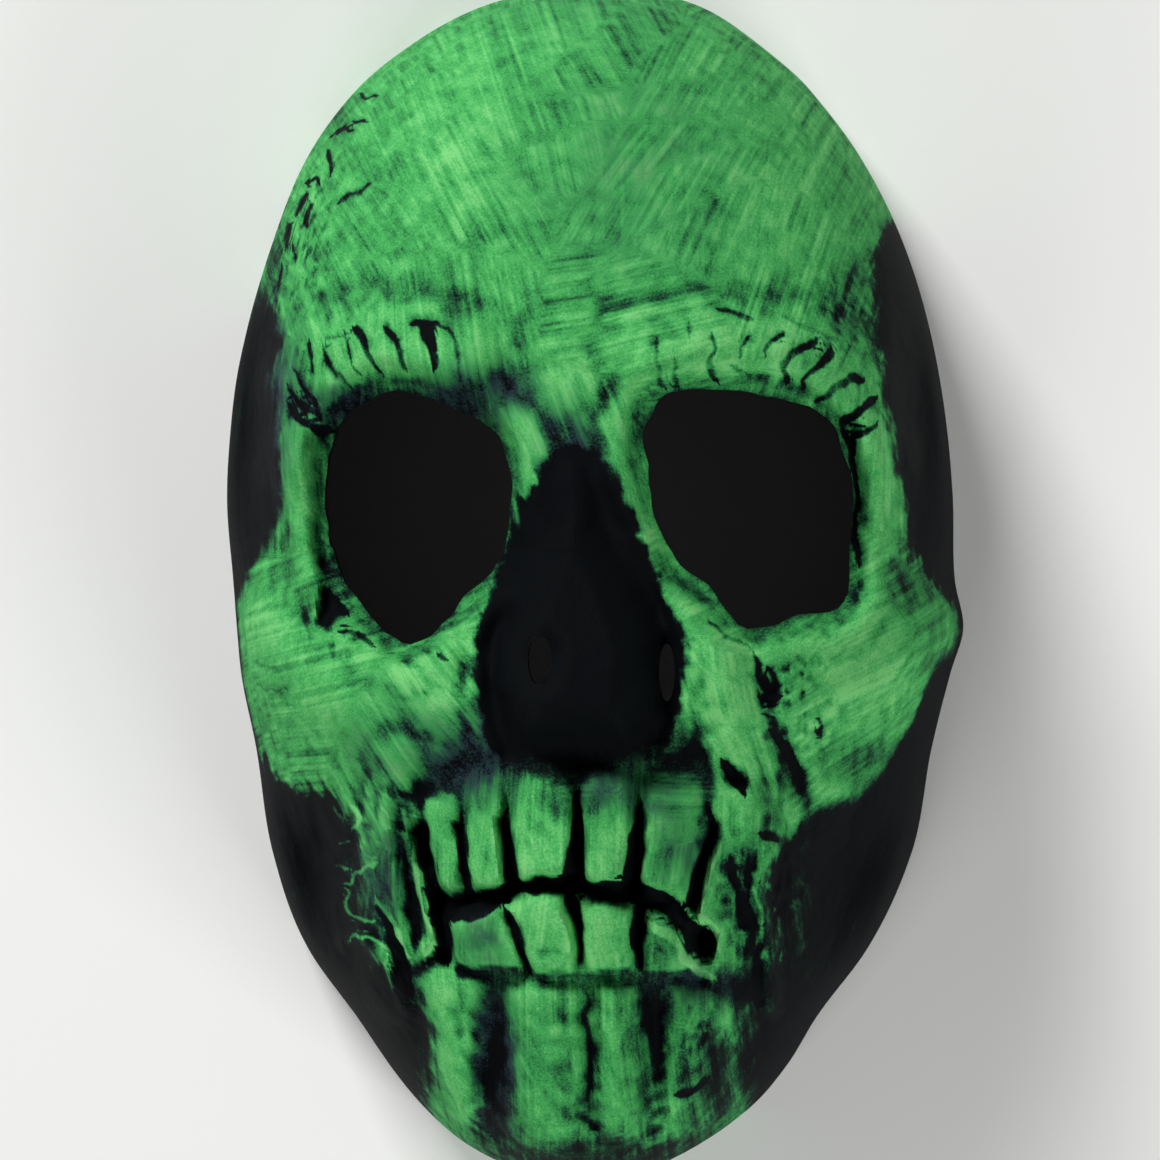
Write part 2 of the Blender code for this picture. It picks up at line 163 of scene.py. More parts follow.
def closed_curve(points, steps):
    """A smooth closed line through the points, as an array of steps rows."""
    points = np.array(points)
    place = np.arange(steps) * len(points) / steps
    index = place.astype(int)
    t = (place - index)[:, None]
    a, b, c, d = (points[(index + shift) % len(points)] for shift in (-1, 0, 1, 2))
    return b + t / 2 * (c - a + t * (2 * a - 5 * b + 4 * c - d + t * (3 * (b - c) + d - a)))


def path_distance(x, y, path, closed=False):
    """Distance in metres to a path given in shares, and whether a point is inside a closed one."""
    path = np.array(path) * (HALF_WIDTH, HALF_HEIGHT)
    ends = np.roll(path, -1, axis=0) if closed else path[1:]
    nearest = np.full(x.shape, np.inf)
    inside = np.zeros(x.shape, bool)
    for (ax, ay), (bx, by) in zip(path, ends):
        length2 = (bx - ax) ** 2 + (by - ay) ** 2
        t = np.clip(((x - ax) * (bx - ax) + (y - ay) * (by - ay)) / length2, 0, 1)
        nearest = np.minimum(nearest, np.hypot(x - ax - t * (bx - ax), y - ay - t * (by - ay)))
        if by != ay:
            inside ^= ((ay > y) != (by > y)) & (x < ax + (y - ay) * (bx - ax) / (by - ay))
    return nearest, inside


def signed_distance(x, y, outline):
    """Metres outside a closed outline, negative inside it."""
    far, inside = path_distance(x, y, closed_curve(outline, OUTLINE_STEPS), closed=True)
    return np.where(inside, -far, far)


# %% [markdown]
# The large forms are ridges and grooves along paths, ovals and teeth: brow ridges, cheekbones,
# the nose cavity's rim, the mouth, the teeth and the chin. They lie close to where the solid has
# them, but most grooves are shallower here, because scored lines will deepen them.

# %% Large forms
RIDGES = (
    # path, reach, rise
    (((-0.76, 0.20), (-0.75, 0.31), (-0.66, 0.37), (-0.53, 0.38), (-0.40, 0.37), (-0.28, 0.35)), 0.15, 1.1),
    (((0.17, 0.35), (0.32, 0.37), (0.45, 0.37), (0.58, 0.36), (0.70, 0.31), (0.75, 0.22)), 0.15, 1.1),
    (((-0.75, 0.22), (-0.73, 0.10), (-0.70, 0.00)), 0.10, 0.7),
    (((0.76, 0.22), (0.77, 0.10), (0.74, -0.02)), 0.10, 0.7),
    (((-0.02, 0.36), (-0.02, 0.26), (-0.02, 0.17)), 0.15, 0.5),
    (((-0.34, -0.17), (-0.52, -0.20), (-0.70, -0.15), (-0.88, -0.06)), 0.24, 1.7),
    (((0.36, -0.14), (0.52, -0.17), (0.70, -0.15), (0.88, -0.10), (0.97, -0.08)), 0.24, 1.7),
    (((-0.13, 0.13), (-0.19, 0.02), (-0.245, -0.08), (-0.25, -0.18), (-0.22, -0.25)), 0.05, 0.35),
    (((-0.17, 0.12), (-0.23, 0.02), (-0.285, -0.08), (-0.29, -0.18), (-0.27, -0.25)), 0.04, -0.12),
    (((0.07, 0.17), (0.14, 0.10), (0.21, 0.00), (0.265, -0.11), (0.25, -0.20), (0.23, -0.25)), 0.05, 0.3),
    # Line under the nose, mouth, and the lower gum.
    (((-0.30, -0.29), (-0.15, -0.30), (0.02, -0.305), (0.20, -0.29)), 0.05, -0.1),
    (((-0.40, -0.39), (-0.385, -0.46), (-0.33, -0.505), (-0.265, -0.49), (-0.16, -0.48), (-0.08, -0.465),
      (0.0, -0.47), (0.15, -0.475), (0.22, -0.50), (0.275, -0.535), (0.31, -0.56)), 0.040, -1.0),
    (((-0.29, -0.613), (-0.15, -0.614), (0.0, -0.61), (0.15, -0.616), (0.31, -0.624)), 0.035, -0.35),
    # Gaps between the upper teeth, then the lower ones.
    (((-0.39, -0.38), (-0.388, -0.45)), 0.028, -0.5),
    (((-0.292, -0.38), (-0.285, -0.46)), 0.026, -0.6),
    (((-0.18, -0.37), (-0.164, -0.47)), 0.032, -0.8),
    (((-0.002, -0.35), (-0.003, -0.46)), 0.032, -0.8),
    (((0.151, -0.36), (0.135, -0.46)), 0.034, -0.8),
    (((0.33, -0.38), (0.31, -0.44), (0.286, -0.50)), 0.028, -0.8),
    (((-0.35, -0.51), (-0.335, -0.59)), 0.035, -0.6),
    (((-0.17, -0.52), (-0.14, -0.57), (-0.12, -0.60)), 0.026, -0.5),
    (((-0.009, -0.50), (0.002, -0.54), (0.005, -0.58)), 0.026, -0.5),
    (((0.153, -0.50), (0.147, -0.55), (0.153, -0.59)), 0.028, -0.6),
    # Chin: four upright ridges and the grooves between them.
    (((-0.37, -0.64), (-0.34, -0.72), (-0.31, -0.83)), 0.09, 0.9),
    (((-0.10, -0.64), (-0.09, -0.72), (-0.10, -0.86)), 0.12, 0.8),
    (((0.085, -0.64), (0.09, -0.73), (0.095, -0.85)), 0.08, 0.8),
    (((0.30, -0.69), (0.29, -0.77), (0.25, -0.86)), 0.13, 1.0),
    (((-0.212, -0.63), (-0.215, -0.73), (-0.235, -0.87)), 0.07, -0.8),
    (((0.022, -0.63), (0.024, -0.73), (0.024, -0.85)), 0.035, -0.4),
    (((0.18, -0.64), (0.19, -0.72), (0.175, -0.86)), 0.055, -0.6),
    # Left of the mouth: the jaw strip, the hanging loop and the arc below it.
    (((-0.46, -0.28), (-0.51, -0.42), (-0.54, -0.54), (-0.49, -0.67)), 0.10, 0.8),
    (((-0.49, -0.35), (-0.47, -0.43), (-0.465, -0.52), (-0.42, -0.60), (-0.37, -0.55),
      (-0.40, -0.46)), 0.035, 0.7),
    (((-0.64, -0.58), (-0.56, -0.565), (-0.48, -0.60), (-0.45, -0.67)), 0.035, 0.6),
    # Right of the mouth: the upper jaw strip, its crease and the folds below.
    (((0.28, -0.06), (0.36, -0.15), (0.40, -0.28), (0.42, -0.40)), 0.10, 0.8),
    (((0.435, -0.09), (0.48, -0.18), (0.51, -0.28), (0.56, -0.34)), 0.05, -0.35),
    (((0.465, -0.42), (0.445, -0.505), (0.48, -0.60), (0.475, -0.68)), 0.04, 0.8),
)
OVALS = (
    # across, up, half width, half height, rise
    (-0.71, -0.47, 0.25, 0.19, -2.4),
    (0.69, -0.48, 0.25, 0.19, -2.2),
    (-0.90, 0.28, 0.16, 0.30, -2.0),
    (0.90, 0.28, 0.15, 0.32, -2.0),
    (-0.02, -0.46, 0.46, 0.30, 1.2),
    (0.307, -0.56, 0.055, 0.042, -1.5),
    (0.0, -0.467, 0.035, 0.024, -0.6),
    (0.13, -0.467, 0.04, 0.026, -0.6),
    (-0.09, -0.12, 0.085, 0.066, -1.1),
    (0.218, -0.14, 0.045, 0.085, -0.9),
    (0.386, -0.30, 0.05, 0.04, -0.7),
    (-0.634, -0.05, 0.05, 0.045, -0.9),
    (0.47, -0.175, 0.04, 0.03, -0.3),
)
TEETH = (
    # across, up, half width, half height, lean, rise
    (-0.328, -0.405, 0.048, 0.080, 5, 0.7),
    (-0.227, -0.393, 0.052, 0.092, 1, 0.85),
    (-0.086, -0.382, 0.076, 0.088, 0, 1.0),
    (0.072, -0.382, 0.070, 0.088, -1, 1.0),
    (0.225, -0.400, 0.068, 0.096, -6, 0.9),
    (-0.225, -0.548, 0.096, 0.050, 8, 0.8),
    (-0.072, -0.545, 0.066, 0.060, 4, 0.9),
    (0.078, -0.547, 0.066, 0.054, 0, 0.9),
    (0.232, -0.555, 0.066, 0.054, -18, 0.8),
)

# %% [markdown]
# The fine forms are lines that the sculptor scored with a small tool: slanting notches along both
# brows, the gaps of the teeth, wrinkles of the jaws. They're too fine for the solid. Each one is
# cut or raised in the relief, and drawn in the paint too: a dry brush skips a cut and loads a lip.

# %% Scored lines
SCORES = (
    # path, half width in mm at the start, at the end, strength
    # Left brow.
    (((-0.693, 0.373), (-0.685, 0.36), (-0.674, 0.336)), 0.5, 0.35, -0.55),
    (((-0.73, 0.34), (-0.715, 0.33), (-0.705, 0.315), (-0.69, 0.295), (-0.675, 0.28)), 0.2, 0.6, -0.50),
    (((-0.743, 0.312), (-0.724, 0.285), (-0.695, 0.273), (-0.666, 0.264)), 0.25, 0.8, -0.55),
    (((-0.743, 0.279), (-0.724, 0.261), (-0.702, 0.249), (-0.671, 0.241), (-0.642, 0.24)), 0.25, 0.9, -0.55),
    (((-0.645, 0.368), (-0.633, 0.345), (-0.616, 0.327), (-0.599, 0.315), (-0.575, 0.306)), 0.35, 0.2, -0.45),
    (((-0.594, 0.39), (-0.585, 0.37), (-0.58, 0.351), (-0.575, 0.333), (-0.56, 0.324)), 0.3, 0.3, -0.45),
    (((-0.638, 0.384), (-0.575, 0.386)), 0.4, 0.3, -0.25),
    (((-0.556, 0.392), (-0.536, 0.378), (-0.522, 0.363), (-0.512, 0.342), (-0.498, 0.324)), 0.9, 0.4, -0.55),
    (((-0.479, 0.398), (-0.455, 0.375), (-0.445, 0.357), (-0.438, 0.342), (-0.43, 0.33)), 0.45, 0.5, -0.50),
    (((-0.411, 0.405), (-0.358, 0.405)), 0.6, 0.7, -0.50),
    (((-0.382, 0.396), (-0.368, 0.372), (-0.361, 0.354), (-0.361, 0.333)), 1.5, 0.6, -0.65),
    (((-0.348, 0.40), (-0.315, 0.39), (-0.30, 0.366), (-0.298, 0.333), (-0.298, 0.31)), 0.4, 0.3, -0.28),
    # Right brow.
    (((0.192, 0.372), (0.19, 0.34), (0.20, 0.318), (0.209, 0.303)), 0.4, 0.4, -0.25),
    (((0.272, 0.395), (0.275, 0.382)), 0.4, 0.3, -0.25),
    (((0.238, 0.345), (0.24, 0.325), (0.24, 0.305)), 0.3, 0.5, -0.30),
    (((0.331, 0.378), (0.333, 0.357), (0.317, 0.342), (0.322, 0.327), (0.334, 0.316)), 0.3, 0.6, -0.45),
    (((0.415, 0.381), (0.398, 0.36), (0.396, 0.35)), 0.3, 0.4, -0.40),
    (((0.378, 0.33), (0.39, 0.326)), 0.5, 0.4, -0.35),
    (((0.418, 0.317), (0.456, 0.313)), 0.5, 0.4, -0.18),
    (((0.504, 0.383), (0.475, 0.374), (0.463, 0.363), (0.463, 0.354)), 0.6, 0.4, -0.50),
    (((0.58, 0.377), (0.552, 0.368), (0.528, 0.354), (0.509, 0.336), (0.51, 0.32),
      (0.512, 0.31)), 0.7, 0.6, -0.55),
    (((0.622, 0.362), (0.61, 0.348), (0.59, 0.336), (0.573, 0.327), (0.556, 0.312),
      (0.554, 0.303)), 0.9, 0.3, -0.60),
    (((0.691, 0.322), (0.667, 0.315), (0.634, 0.304), (0.61, 0.29), (0.595, 0.283)), 0.9, 0.4, -0.50),
    (((0.729, 0.288), (0.705, 0.276), (0.681, 0.264), (0.657, 0.257)), 0.7, 0.8, -0.65),
    (((0.739, 0.246), (0.705, 0.237), (0.681, 0.228), (0.685, 0.213)), 0.4, 0.9, -0.60),
    (((0.35, 0.42), (0.41, 0.41)), 0.4, 0.6, -0.35),
    (((0.52, 0.412), (0.58, 0.398), (0.64, 0.378)), 0.4, 0.4, -0.20),
    # Double rim outside the right socket.
    (((0.655, 0.24), (0.675, 0.21), (0.692, 0.16), (0.69, 0.08), (0.70, 0.03)), 0.6, 0.4, -0.55),
    # Upper teeth, from left to right, and the mouth.
    (((-0.392, -0.385), (-0.398, -0.41), (-0.393, -0.44), (-0.378, -0.47)), 0.5, 1.2, -0.80),
    (((-0.294, -0.36), (-0.294, -0.41), (-0.29, -0.45), (-0.275, -0.485)), 0.2, 0.8, -0.80),
    (((-0.176, -0.353), (-0.181, -0.38), (-0.173, -0.411), (-0.167, -0.446),
      (-0.16, -0.47)), 0.2, 1.6, -0.90),
    (((-0.001, -0.323), (-0.001, -0.35), (-0.001, -0.40), (-0.004, -0.453)), 0.5, 1.7, -0.90),
    (((0.151, -0.338), (0.151, -0.357), (0.146, -0.388), (0.14, -0.419), (0.131, -0.446)), 0.2, 1.8, -0.90),
    (((0.315, -0.35), (0.333, -0.373), (0.324, -0.40), (0.315, -0.43),
      (0.296, -0.468), (0.284, -0.495)), 0.3, 1.1, -0.80),
    (((-0.385, -0.483), (-0.348, -0.506), (-0.299, -0.515), (-0.244, -0.503)), 1.4, 1.8, -0.90),
    (((-0.244, -0.503), (-0.194, -0.486), (-0.152, -0.473)), 1.8, 1.0, -0.90),
    (((-0.152, -0.473), (-0.09, -0.469), (-0.029, -0.467), (0.032, -0.473)), 1.0, 1.3, -0.90),
    (((0.032, -0.473), (0.124, -0.469)), 1.3, 2.2, -0.90),
    (((0.124, -0.469), (0.167, -0.478), (0.204, -0.492), (0.241, -0.515), (0.272, -0.53)), 2.0, 1.4, -0.90),
    (((0.272, -0.53), (0.29, -0.546), (0.309, -0.565)), 1.4, 2.6, -0.90),
    # Lower teeth.
    (((-0.36, -0.51), (-0.345, -0.55), (-0.335, -0.59)), 1.8, 1.4, -0.70),
    (((-0.182, -0.511), (-0.158, -0.534), (-0.139, -0.568), (-0.121, -0.603)), 0.7, 0.4, -0.80),
    (((-0.017, -0.492), (-0.004, -0.515), (0.002, -0.538), (0.005, -0.572)), 1.0, 0.2, -0.80),
    (((0.155, -0.50), (0.149, -0.53), (0.146, -0.561), (0.155, -0.588)), 1.2, 0.4, -0.80),
    (((0.19, -0.53), (0.255, -0.572), (0.29, -0.603), (0.33, -0.618)), 0.9, 0.9, 0.35),
    # Cheek ends and jaw strip right of the mouth.
    (((0.364, -0.28), (0.376, -0.296), (0.395, -0.311)), 0.9, 1.5, -0.90),
    (((0.395, -0.311), (0.404, -0.333)), 1.4, 0.4, -0.90),
    (((0.345, -0.407), (0.327, -0.453), (0.308, -0.499), (0.308, -0.522)), 0.4, 0.5, 0.30),
    (((0.308, -0.511), (0.339, -0.538), (0.352, -0.573)), 0.5, 0.5, 0.30),
    (((0.474, -0.476), (0.498, -0.538), (0.51, -0.592)), 0.5, 0.4, 0.35),
    (((0.43, -0.47), (0.45, -0.52), (0.455, -0.56)), 0.4, 0.4, 0.25),
    (((0.375, -0.43), (0.39, -0.48), (0.41, -0.54)), 0.5, 1.0, -0.35),
    (((0.455, -0.40), (0.475, -0.405)), 0.9, 0.7, -0.60),
    # Wrinkles beside the right upper jaw.
    (((0.33, -0.062), (0.36, -0.085), (0.41, -0.10)), 0.35, 0.3, -0.40),
    (((0.435, -0.115), (0.45, -0.13), (0.447, -0.15), (0.46, -0.165)), 0.5, 0.4, -0.50),
    (((0.475, -0.135), (0.49, -0.15), (0.483, -0.165)), 0.4, 0.4, -0.45),
    (((0.455, -0.178), (0.475, -0.185), (0.49, -0.178)), 0.5, 0.4, -0.50),
    (((0.46, -0.205), (0.475, -0.21)), 0.4, 0.3, -0.40),
    (((0.48, -0.235), (0.50, -0.25), (0.52, -0.275)), 0.5, 0.9, -0.50),
    (((0.52, -0.275), (0.545, -0.30), (0.55, -0.325)), 0.9, 0.5, -0.55),
    (((0.595, -0.213), (0.608, -0.222), (0.605, -0.24), (0.593, -0.232)), 0.35, 0.35, -0.50),
    # Left jaw: lips of its folds, and the cuts beside them.
    (((-0.50, -0.353), (-0.466, -0.368), (-0.419, -0.379)), 0.3, 0.3, 0.18),
    (((-0.417, -0.417), (-0.42, -0.436), (-0.415, -0.461), (-0.415, -0.482),
      (-0.405, -0.507)), 0.5, 0.5, 0.44),
    (((-0.405, -0.507), (-0.385, -0.53), (-0.358, -0.547), (-0.371, -0.566),
      (-0.385, -0.583)), 0.5, 0.4, 0.44),
    (((-0.517, -0.501), (-0.50, -0.522), (-0.479, -0.545), (-0.459, -0.566),
      (-0.436, -0.59)), 0.5, 0.4, 0.40),
    (((-0.513, -0.514), (-0.486, -0.55), (-0.463, -0.579), (-0.453, -0.609),
      (-0.453, -0.65)), 0.7, 1.5, -0.55),
    (((-0.604, -0.579), (-0.587, -0.562), (-0.547, -0.56), (-0.516, -0.567)), 0.3, 0.45, 0.46),
    (((-0.516, -0.567), (-0.487, -0.579), (-0.472, -0.598), (-0.47, -0.617)), 0.45, 0.3, 0.46),
    (((-0.496, -0.60), (-0.486, -0.63), (-0.483, -0.642)), 0.3, 0.4, 0.44),
    (((-0.527, -0.45), (-0.564, -0.459), (-0.587, -0.472), (-0.60, -0.486),
      (-0.617, -0.484)), 0.5, 0.3, 0.44),
    (((-0.567, -0.419), (-0.554, -0.438), (-0.527, -0.44)), 0.4, 0.3, 0.30),
    (((-0.584, -0.36), (-0.57, -0.377), (-0.587, -0.389)), 0.5, 0.4, 0.40),
    (((-0.63, -0.419), (-0.604, -0.412)), 0.4, 0.3, 0.46),
    (((-0.64, -0.455), (-0.614, -0.461)), 0.4, 0.3, 0.44),
    (((-0.607, -0.535), (-0.574, -0.537), (-0.533, -0.535)), 0.4, 0.3, 0.44),
    (((-0.604, -0.499), (-0.617, -0.516), (-0.61, -0.535)), 0.5, 0.4, 0.44),
    # Wrinkles at the left socket's lower corner and under the cheekbone.
    (((-0.64, -0.02), (-0.625, -0.04), (-0.60, -0.05)), 0.9, 0.7, -0.60),
    (((-0.60, -0.075), (-0.565, -0.083), (-0.53, -0.10)), 0.4, 0.5, -0.50),
    (((-0.345, -0.113), (-0.33, -0.122)), 0.6, 0.5, -0.50),
    (((-0.44, -0.125), (-0.40, -0.13)), 0.4, 0.3, -0.30),
    (((-0.86, -0.13), (-0.80, -0.135)), 0.4, 0.2, -0.16),
    (((-0.85, -0.17), (-0.76, -0.175)), 0.4, 0.2, -0.16),
    # Worm-like marks down the left temple.
    (((-0.60, 0.80), (-0.58, 0.79), (-0.555, 0.79)), 0.5, 0.3, -0.50),
    (((-0.60, 0.75), (-0.575, 0.745)), 0.4, 0.3, -0.45),
    (((-0.665, 0.73), (-0.635, 0.74), (-0.61, 0.735)), 0.5, 0.3, -0.50),
    (((-0.68, 0.70), (-0.66, 0.68), (-0.655, 0.66)), 0.5, 0.4, -0.50),
    (((-0.735, 0.655), (-0.71, 0.66), (-0.695, 0.645)), 0.6, 0.4, -0.55),
    (((-0.74, 0.63), (-0.76, 0.60)), 0.6, 0.5, -0.55),
    (((-0.71, 0.61), (-0.73, 0.58)), 0.4, 0.4, -0.45),
    (((-0.785, 0.58), (-0.79, 0.545)), 0.6, 0.5, -0.55),
    (((-0.765, 0.55), (-0.755, 0.52)), 0.4, 0.3, -0.45),
    (((-0.80, 0.51), (-0.805, 0.48)), 0.5, 0.4, -0.50),
    (((-0.62, 0.61), (-0.60, 0.622), (-0.57, 0.62), (-0.55, 0.632)), 0.5, 0.2, -0.35),
    # Chin.
    (((0.255, -0.805), (0.285, -0.80), (0.31, -0.785)), 0.7, 0.5, -0.45),
    (((0.022, -0.66), (0.024, -0.73), (0.02, -0.81)), 0.5, 0.3, -0.14),
)
SCORE_DEPTH = 0.0013
SCORE_SLOPE = 0.0016
PITS = (
    # across, up, half width, half height, rise
    (-0.80, 0.45, 0.040, 0.030, 0.30),
    (-0.65, 0.02, 0.030, 0.030, -0.25),
    (0.62, -0.08, 0.030, 0.012, -0.25),
    (-0.69, -0.42, 0.060, 0.045, -0.4),
    (-0.60, -0.53, 0.060, 0.030, -0.2),
)
ROUGH_PATCHES = (
    # across, up, half width, half height, strength
    (-0.74, 0.60, 0.14, 0.26, 1.0),
    (-0.60, -0.06, 0.16, 0.09, 0.9),
    (0.52, -0.18, 0.16, 0.17, 1.0),
    (0.24, 0.06, 0.10, 0.14, 0.5),
    (-0.52, -0.42, 0.20, 0.20, 1.0),
    (0.46, -0.48, 0.16, 0.20, 1.0),
    (-0.40, -0.14, 0.12, 0.08, 0.6),
    (0.66, 0.42, 0.12, 0.12, 0.7),
    (0.30, -0.70, 0.16, 0.12, 0.5),
    (-0.62, 0.26, 0.16, 0.10, 0.7),
    (0.66, 0.27, 0.14, 0.10, 0.7),
)
print(len(SCORES), "scored lines and", len(PITS), "pits")


def oval_sum(rows, across, up):
    """Soft ovals added up, each with its own strength."""
    total = np.zeros(across.shape)
    for left, middle, half_width, half_height, gain in rows:
        far = np.hypot((across - left) / half_width, (up - middle) / half_height)
        total += gain * (1 - smooth_step(far))
    return total


def along_paths(x, y, rows):
    total = np.zeros(x.shape)
    for path, reach, rise in rows:
        far, _ = path_distance(x, y, path)
        total += rise * RELIEF * (1 - smooth_step(far / (reach * HALF_WIDTH)))
    return total


def large_relief(x, y):
    """Height of the large forms over the plain dome, at places given in metres."""
    across, up = x / HALF_WIDTH, y / HALF_HEIGHT
    height = RELIEF * oval_sum(OVALS, across, up) + along_paths(x, y, RIDGES)
    for left, middle, half_width, half_height, lean, rise in TEETH:
        turn = np.radians(lean)
        dx, dy = (across - left) * HALF_WIDTH, (up - middle) * HALF_HEIGHT
        along = (dx * np.cos(turn) + dy * np.sin(turn)) / (half_width * HALF_WIDTH)
        rising = (dy * np.cos(turn) - dx * np.sin(turn)) / (half_height * HALF_HEIGHT)
        far = (along**4 + rising**4) ** 0.25
        height += rise * RELIEF * smooth_step((1.15 - far) / 0.4)
    for socket in (LEFT_SOCKET, RIGHT_SOCKET):
        far = signed_distance(x, y, socket) / (0.06 * HALF_WIDTH)
        height -= 0.8 * RELIEF * (1 - smooth_step(far))
        height += 0.4 * RELIEF * (1 - smooth_step(np.abs(far - 1.2)))
    bulge = smooth_step(-signed_distance(x, y, NOSE_OUTLINE) / (0.15 * HALF_WIDTH))
    return height + NOSE_RISE * bulge * through(NOSE_PROFILE, 1, up)


def nearest_score(x, y):
    """How far beside the nearest scored line, how far off its edge, its half width, its strength."""
    beside, strength, half_width = (np.zeros(x.shape) for _ in range(3))
    off = np.full(x.shape, np.inf)
    for path, start, end, gain in SCORES:
        path = np.array(path) * (HALF_WIDTH, HALF_HEIGHT)
        lengths = np.hypot(*np.diff(path, axis=0).T)
        run = np.concatenate([[0], np.cumsum(lengths)]) / lengths.sum()
        for (ax, ay), (bx, by), run_a, run_b in zip(path, path[1:], run, run[1:]):
            dx, dy = bx - ax, by - ay
            t = np.clip(((x - ax) * dx + (y - ay) * dy) / (dx * dx + dy * dy), 0, 1)
            far = np.hypot(x - ax - t * dx, y - ay - t * dy)
            half = 0.001 * (start + (end - start) * (run_a + (run_b - run_a) * t))
            nearer = far - half < off
            side = np.sign(dx * (y - ay) - dy * (x - ax))
            beside = np.where(nearer, side * far, beside)
            half_width = np.where(nearer, half, half_width)
            strength = np.where(nearer, gain, strength)
            off = np.where(nearer, far - half, off)
    return beside, off, half_width, strength


def fine_relief(x, y):
    """Height of the scored lines and the pits."""
    _, off, _, strength = nearest_score(x, y)
    cut = SCORE_DEPTH * strength * (1 - smooth_step(off / SCORE_SLOPE + 0.3))
    return cut + RELIEF * oval_sum(PITS, x / HALF_WIDTH, y / HALF_HEIGHT)


# %% [markdown]
# The shell starts as half a sphere with its poles at chin and crown. Its points are crowded
# towards the face, where the teeth need them, then moved onto the sections and the relief. A
# little noise bends every edge, because nothing modelled in clay by hand runs true.

# %% Sculpt the outer face and the hollow
OUTER_STEPS = (500, 300)
INNER_STEPS = (180, 110)
CROWDING = 0.28
HAND_WAVER = 0.0010
WAVER_SPACING = 0.009
HAND_SHAKE = 0.0005
SHAKE_SPACING = 0.0032
LUMP_HEIGHT = 0.0007
LUMP_SPACING = 0.014
GRAIN_HEIGHT = 0.0002
GRAIN_SPACING = 0.0035
WRINKLE_HEIGHT = 0.0010
WRINKLE_SPACING = 0.0028
WRINKLE_SHARPNESS = 2.5
RELIEF_FADE = 0.25 * MASK_DEPTH


def crowd(angle, share):
    """An angle from -90 to 90 degrees drawn towards 0."""
    return angle - share * np.sin(2 * angle) / 2


def half_dome(steps, share):
    """Half a unit sphere, its poles on Y and its points crowded towards the front."""
    bm = bmesh.new()
    bmesh.ops.create_uvsphere(bm, u_segments=steps[0], v_segments=steps[1], radius=1)
    bmesh.ops.rotate(bm, verts=bm.verts, matrix=Matrix.Rotation(np.pi / 2, 3, "X"))
    behind = [vert for vert in bm.verts if vert.co.z < -1e-4]
    bmesh.ops.delete(bm, geom=behind, context="VERTS")
    points = np.array([vert.co for vert in bm.verts])
    turn = crowd(np.arctan2(points[:, 0], np.clip(points[:, 2], 0, 1)), share)
    height = crowd(np.arcsin(np.clip(points[:, 1], -1, 1)), 0.5 * share)
    ring = np.cos(height)
    return bm, np.stack([ring * np.sin(turn), np.sin(height), ring * np.cos(turn)], axis=1)


def hand_noise(x, y, z, spacing, seed):
    """Soft noise from -1 to 1 with lumps about one spacing apart."""
    shift = Vector((seed, 2.3 * seed, 5.1 * seed))
    return np.array([noise.noise(Vector(p) / spacing + shift) for p in zip(x, y, z)])


def bent(x, y, z):
    """Places moved a little, as far as a hand wavers, so that no line or edge runs true."""
    wide_x, wide_y = (hand_noise(x, y, z, WAVER_SPACING, seed) for seed in (3, 7))
    shaky_x, shaky_y = (hand_noise(x, y, z, SHAKE_SPACING, seed) for seed in (5, 9))
    return x + HAND_WAVER * wide_x + HAND_SHAKE * shaky_x, y + HAND_WAVER * wide_y + HAND_SHAKE * shaky_y


def outer_height(x, y, z):
    """Everything the sculptor's hands did to the outer face."""
    bent_x, bent_y = bent(x, y, z)
    height = large_relief(bent_x, bent_y) + fine_relief(bent_x, bent_y)
    height += LUMP_HEIGHT * hand_noise(x, y, z, LUMP_SPACING, 11)
    height += GRAIN_HEIGHT * hand_noise(x, y, z, GRAIN_SPACING, 13)
    rough = np.clip(oval_sum(ROUGH_PATCHES, x / HALF_WIDTH, y / HALF_HEIGHT), 0, 1)
    creases = 1 - WRINKLE_SHARPNESS * np.abs(hand_noise(x, y, z, WRINKLE_SPACING, 15))
    return height + WRINKLE_HEIGHT * rough * np.clip(creases, -1, 1)


def inner_height(x, y, inset):
    """The lowest outer face within a wall's reach, so that the wall is never thin."""
    height = large_relief(x, y)
    for reach, step in ((0.45, 60), (0.95, 45)):
        for turn in np.radians(range(0, 360, step)):
            shift_x, shift_y = reach * inset * np.cos(turn), reach * inset * np.sin(turn)
            height = np.minimum(height, large_relief(x + shift_x, y + shift_y))
    return height - LUMP_HEIGHT


def sculpted(inset):
    """One closed body under the sculpted face, with a straight skirt below the rim."""
    bm, points = half_dome(INNER_STEPS if inset else OUTER_STEPS, CROWDING)
    x, y, z = dome(points, inset)
    height = inner_height(x, y, inset) if inset else outer_height(x, y, z)
    z = z + height * smooth_step((z - PLAIN_RIM) / RELIEF_FADE)
    for vert, place in zip(bm.verts, zip(x, y, z)):
        vert.co = place
    bm.normal_update()
    rim = [edge for edge in bm.edges if edge.is_boundary]
    wall = bmesh.ops.extrude_edge_only(bm, edges=rim)["geom"]
    lowered = [item for item in wall if isinstance(item, bmesh.types.BMVert)]
    skirt = (2 if inset else 1) * SKIRT
    bmesh.ops.translate(bm, verts=lowered, vec=(0, 0, -skirt))
    bmesh.ops.holes_fill(bm, edges=[edge for edge in bm.edges if edge.is_boundary])
    return bm


def object_from(bm, name, surfaces=(), face_surface=0):
    mesh = bpy.data.meshes.new(name)
    bmesh.ops.recalc_face_normals(bm, faces=bm.faces)
    for face in bm.faces:
        face.material_index = face_surface
    bm.to_mesh(mesh)
    bm.free()
    for surface in surfaces:
        mesh.materials.append(surface)
    made = bpy.data.objects.new(name, mesh)
    bpy.context.scene.collection.objects.link(made)
    return made


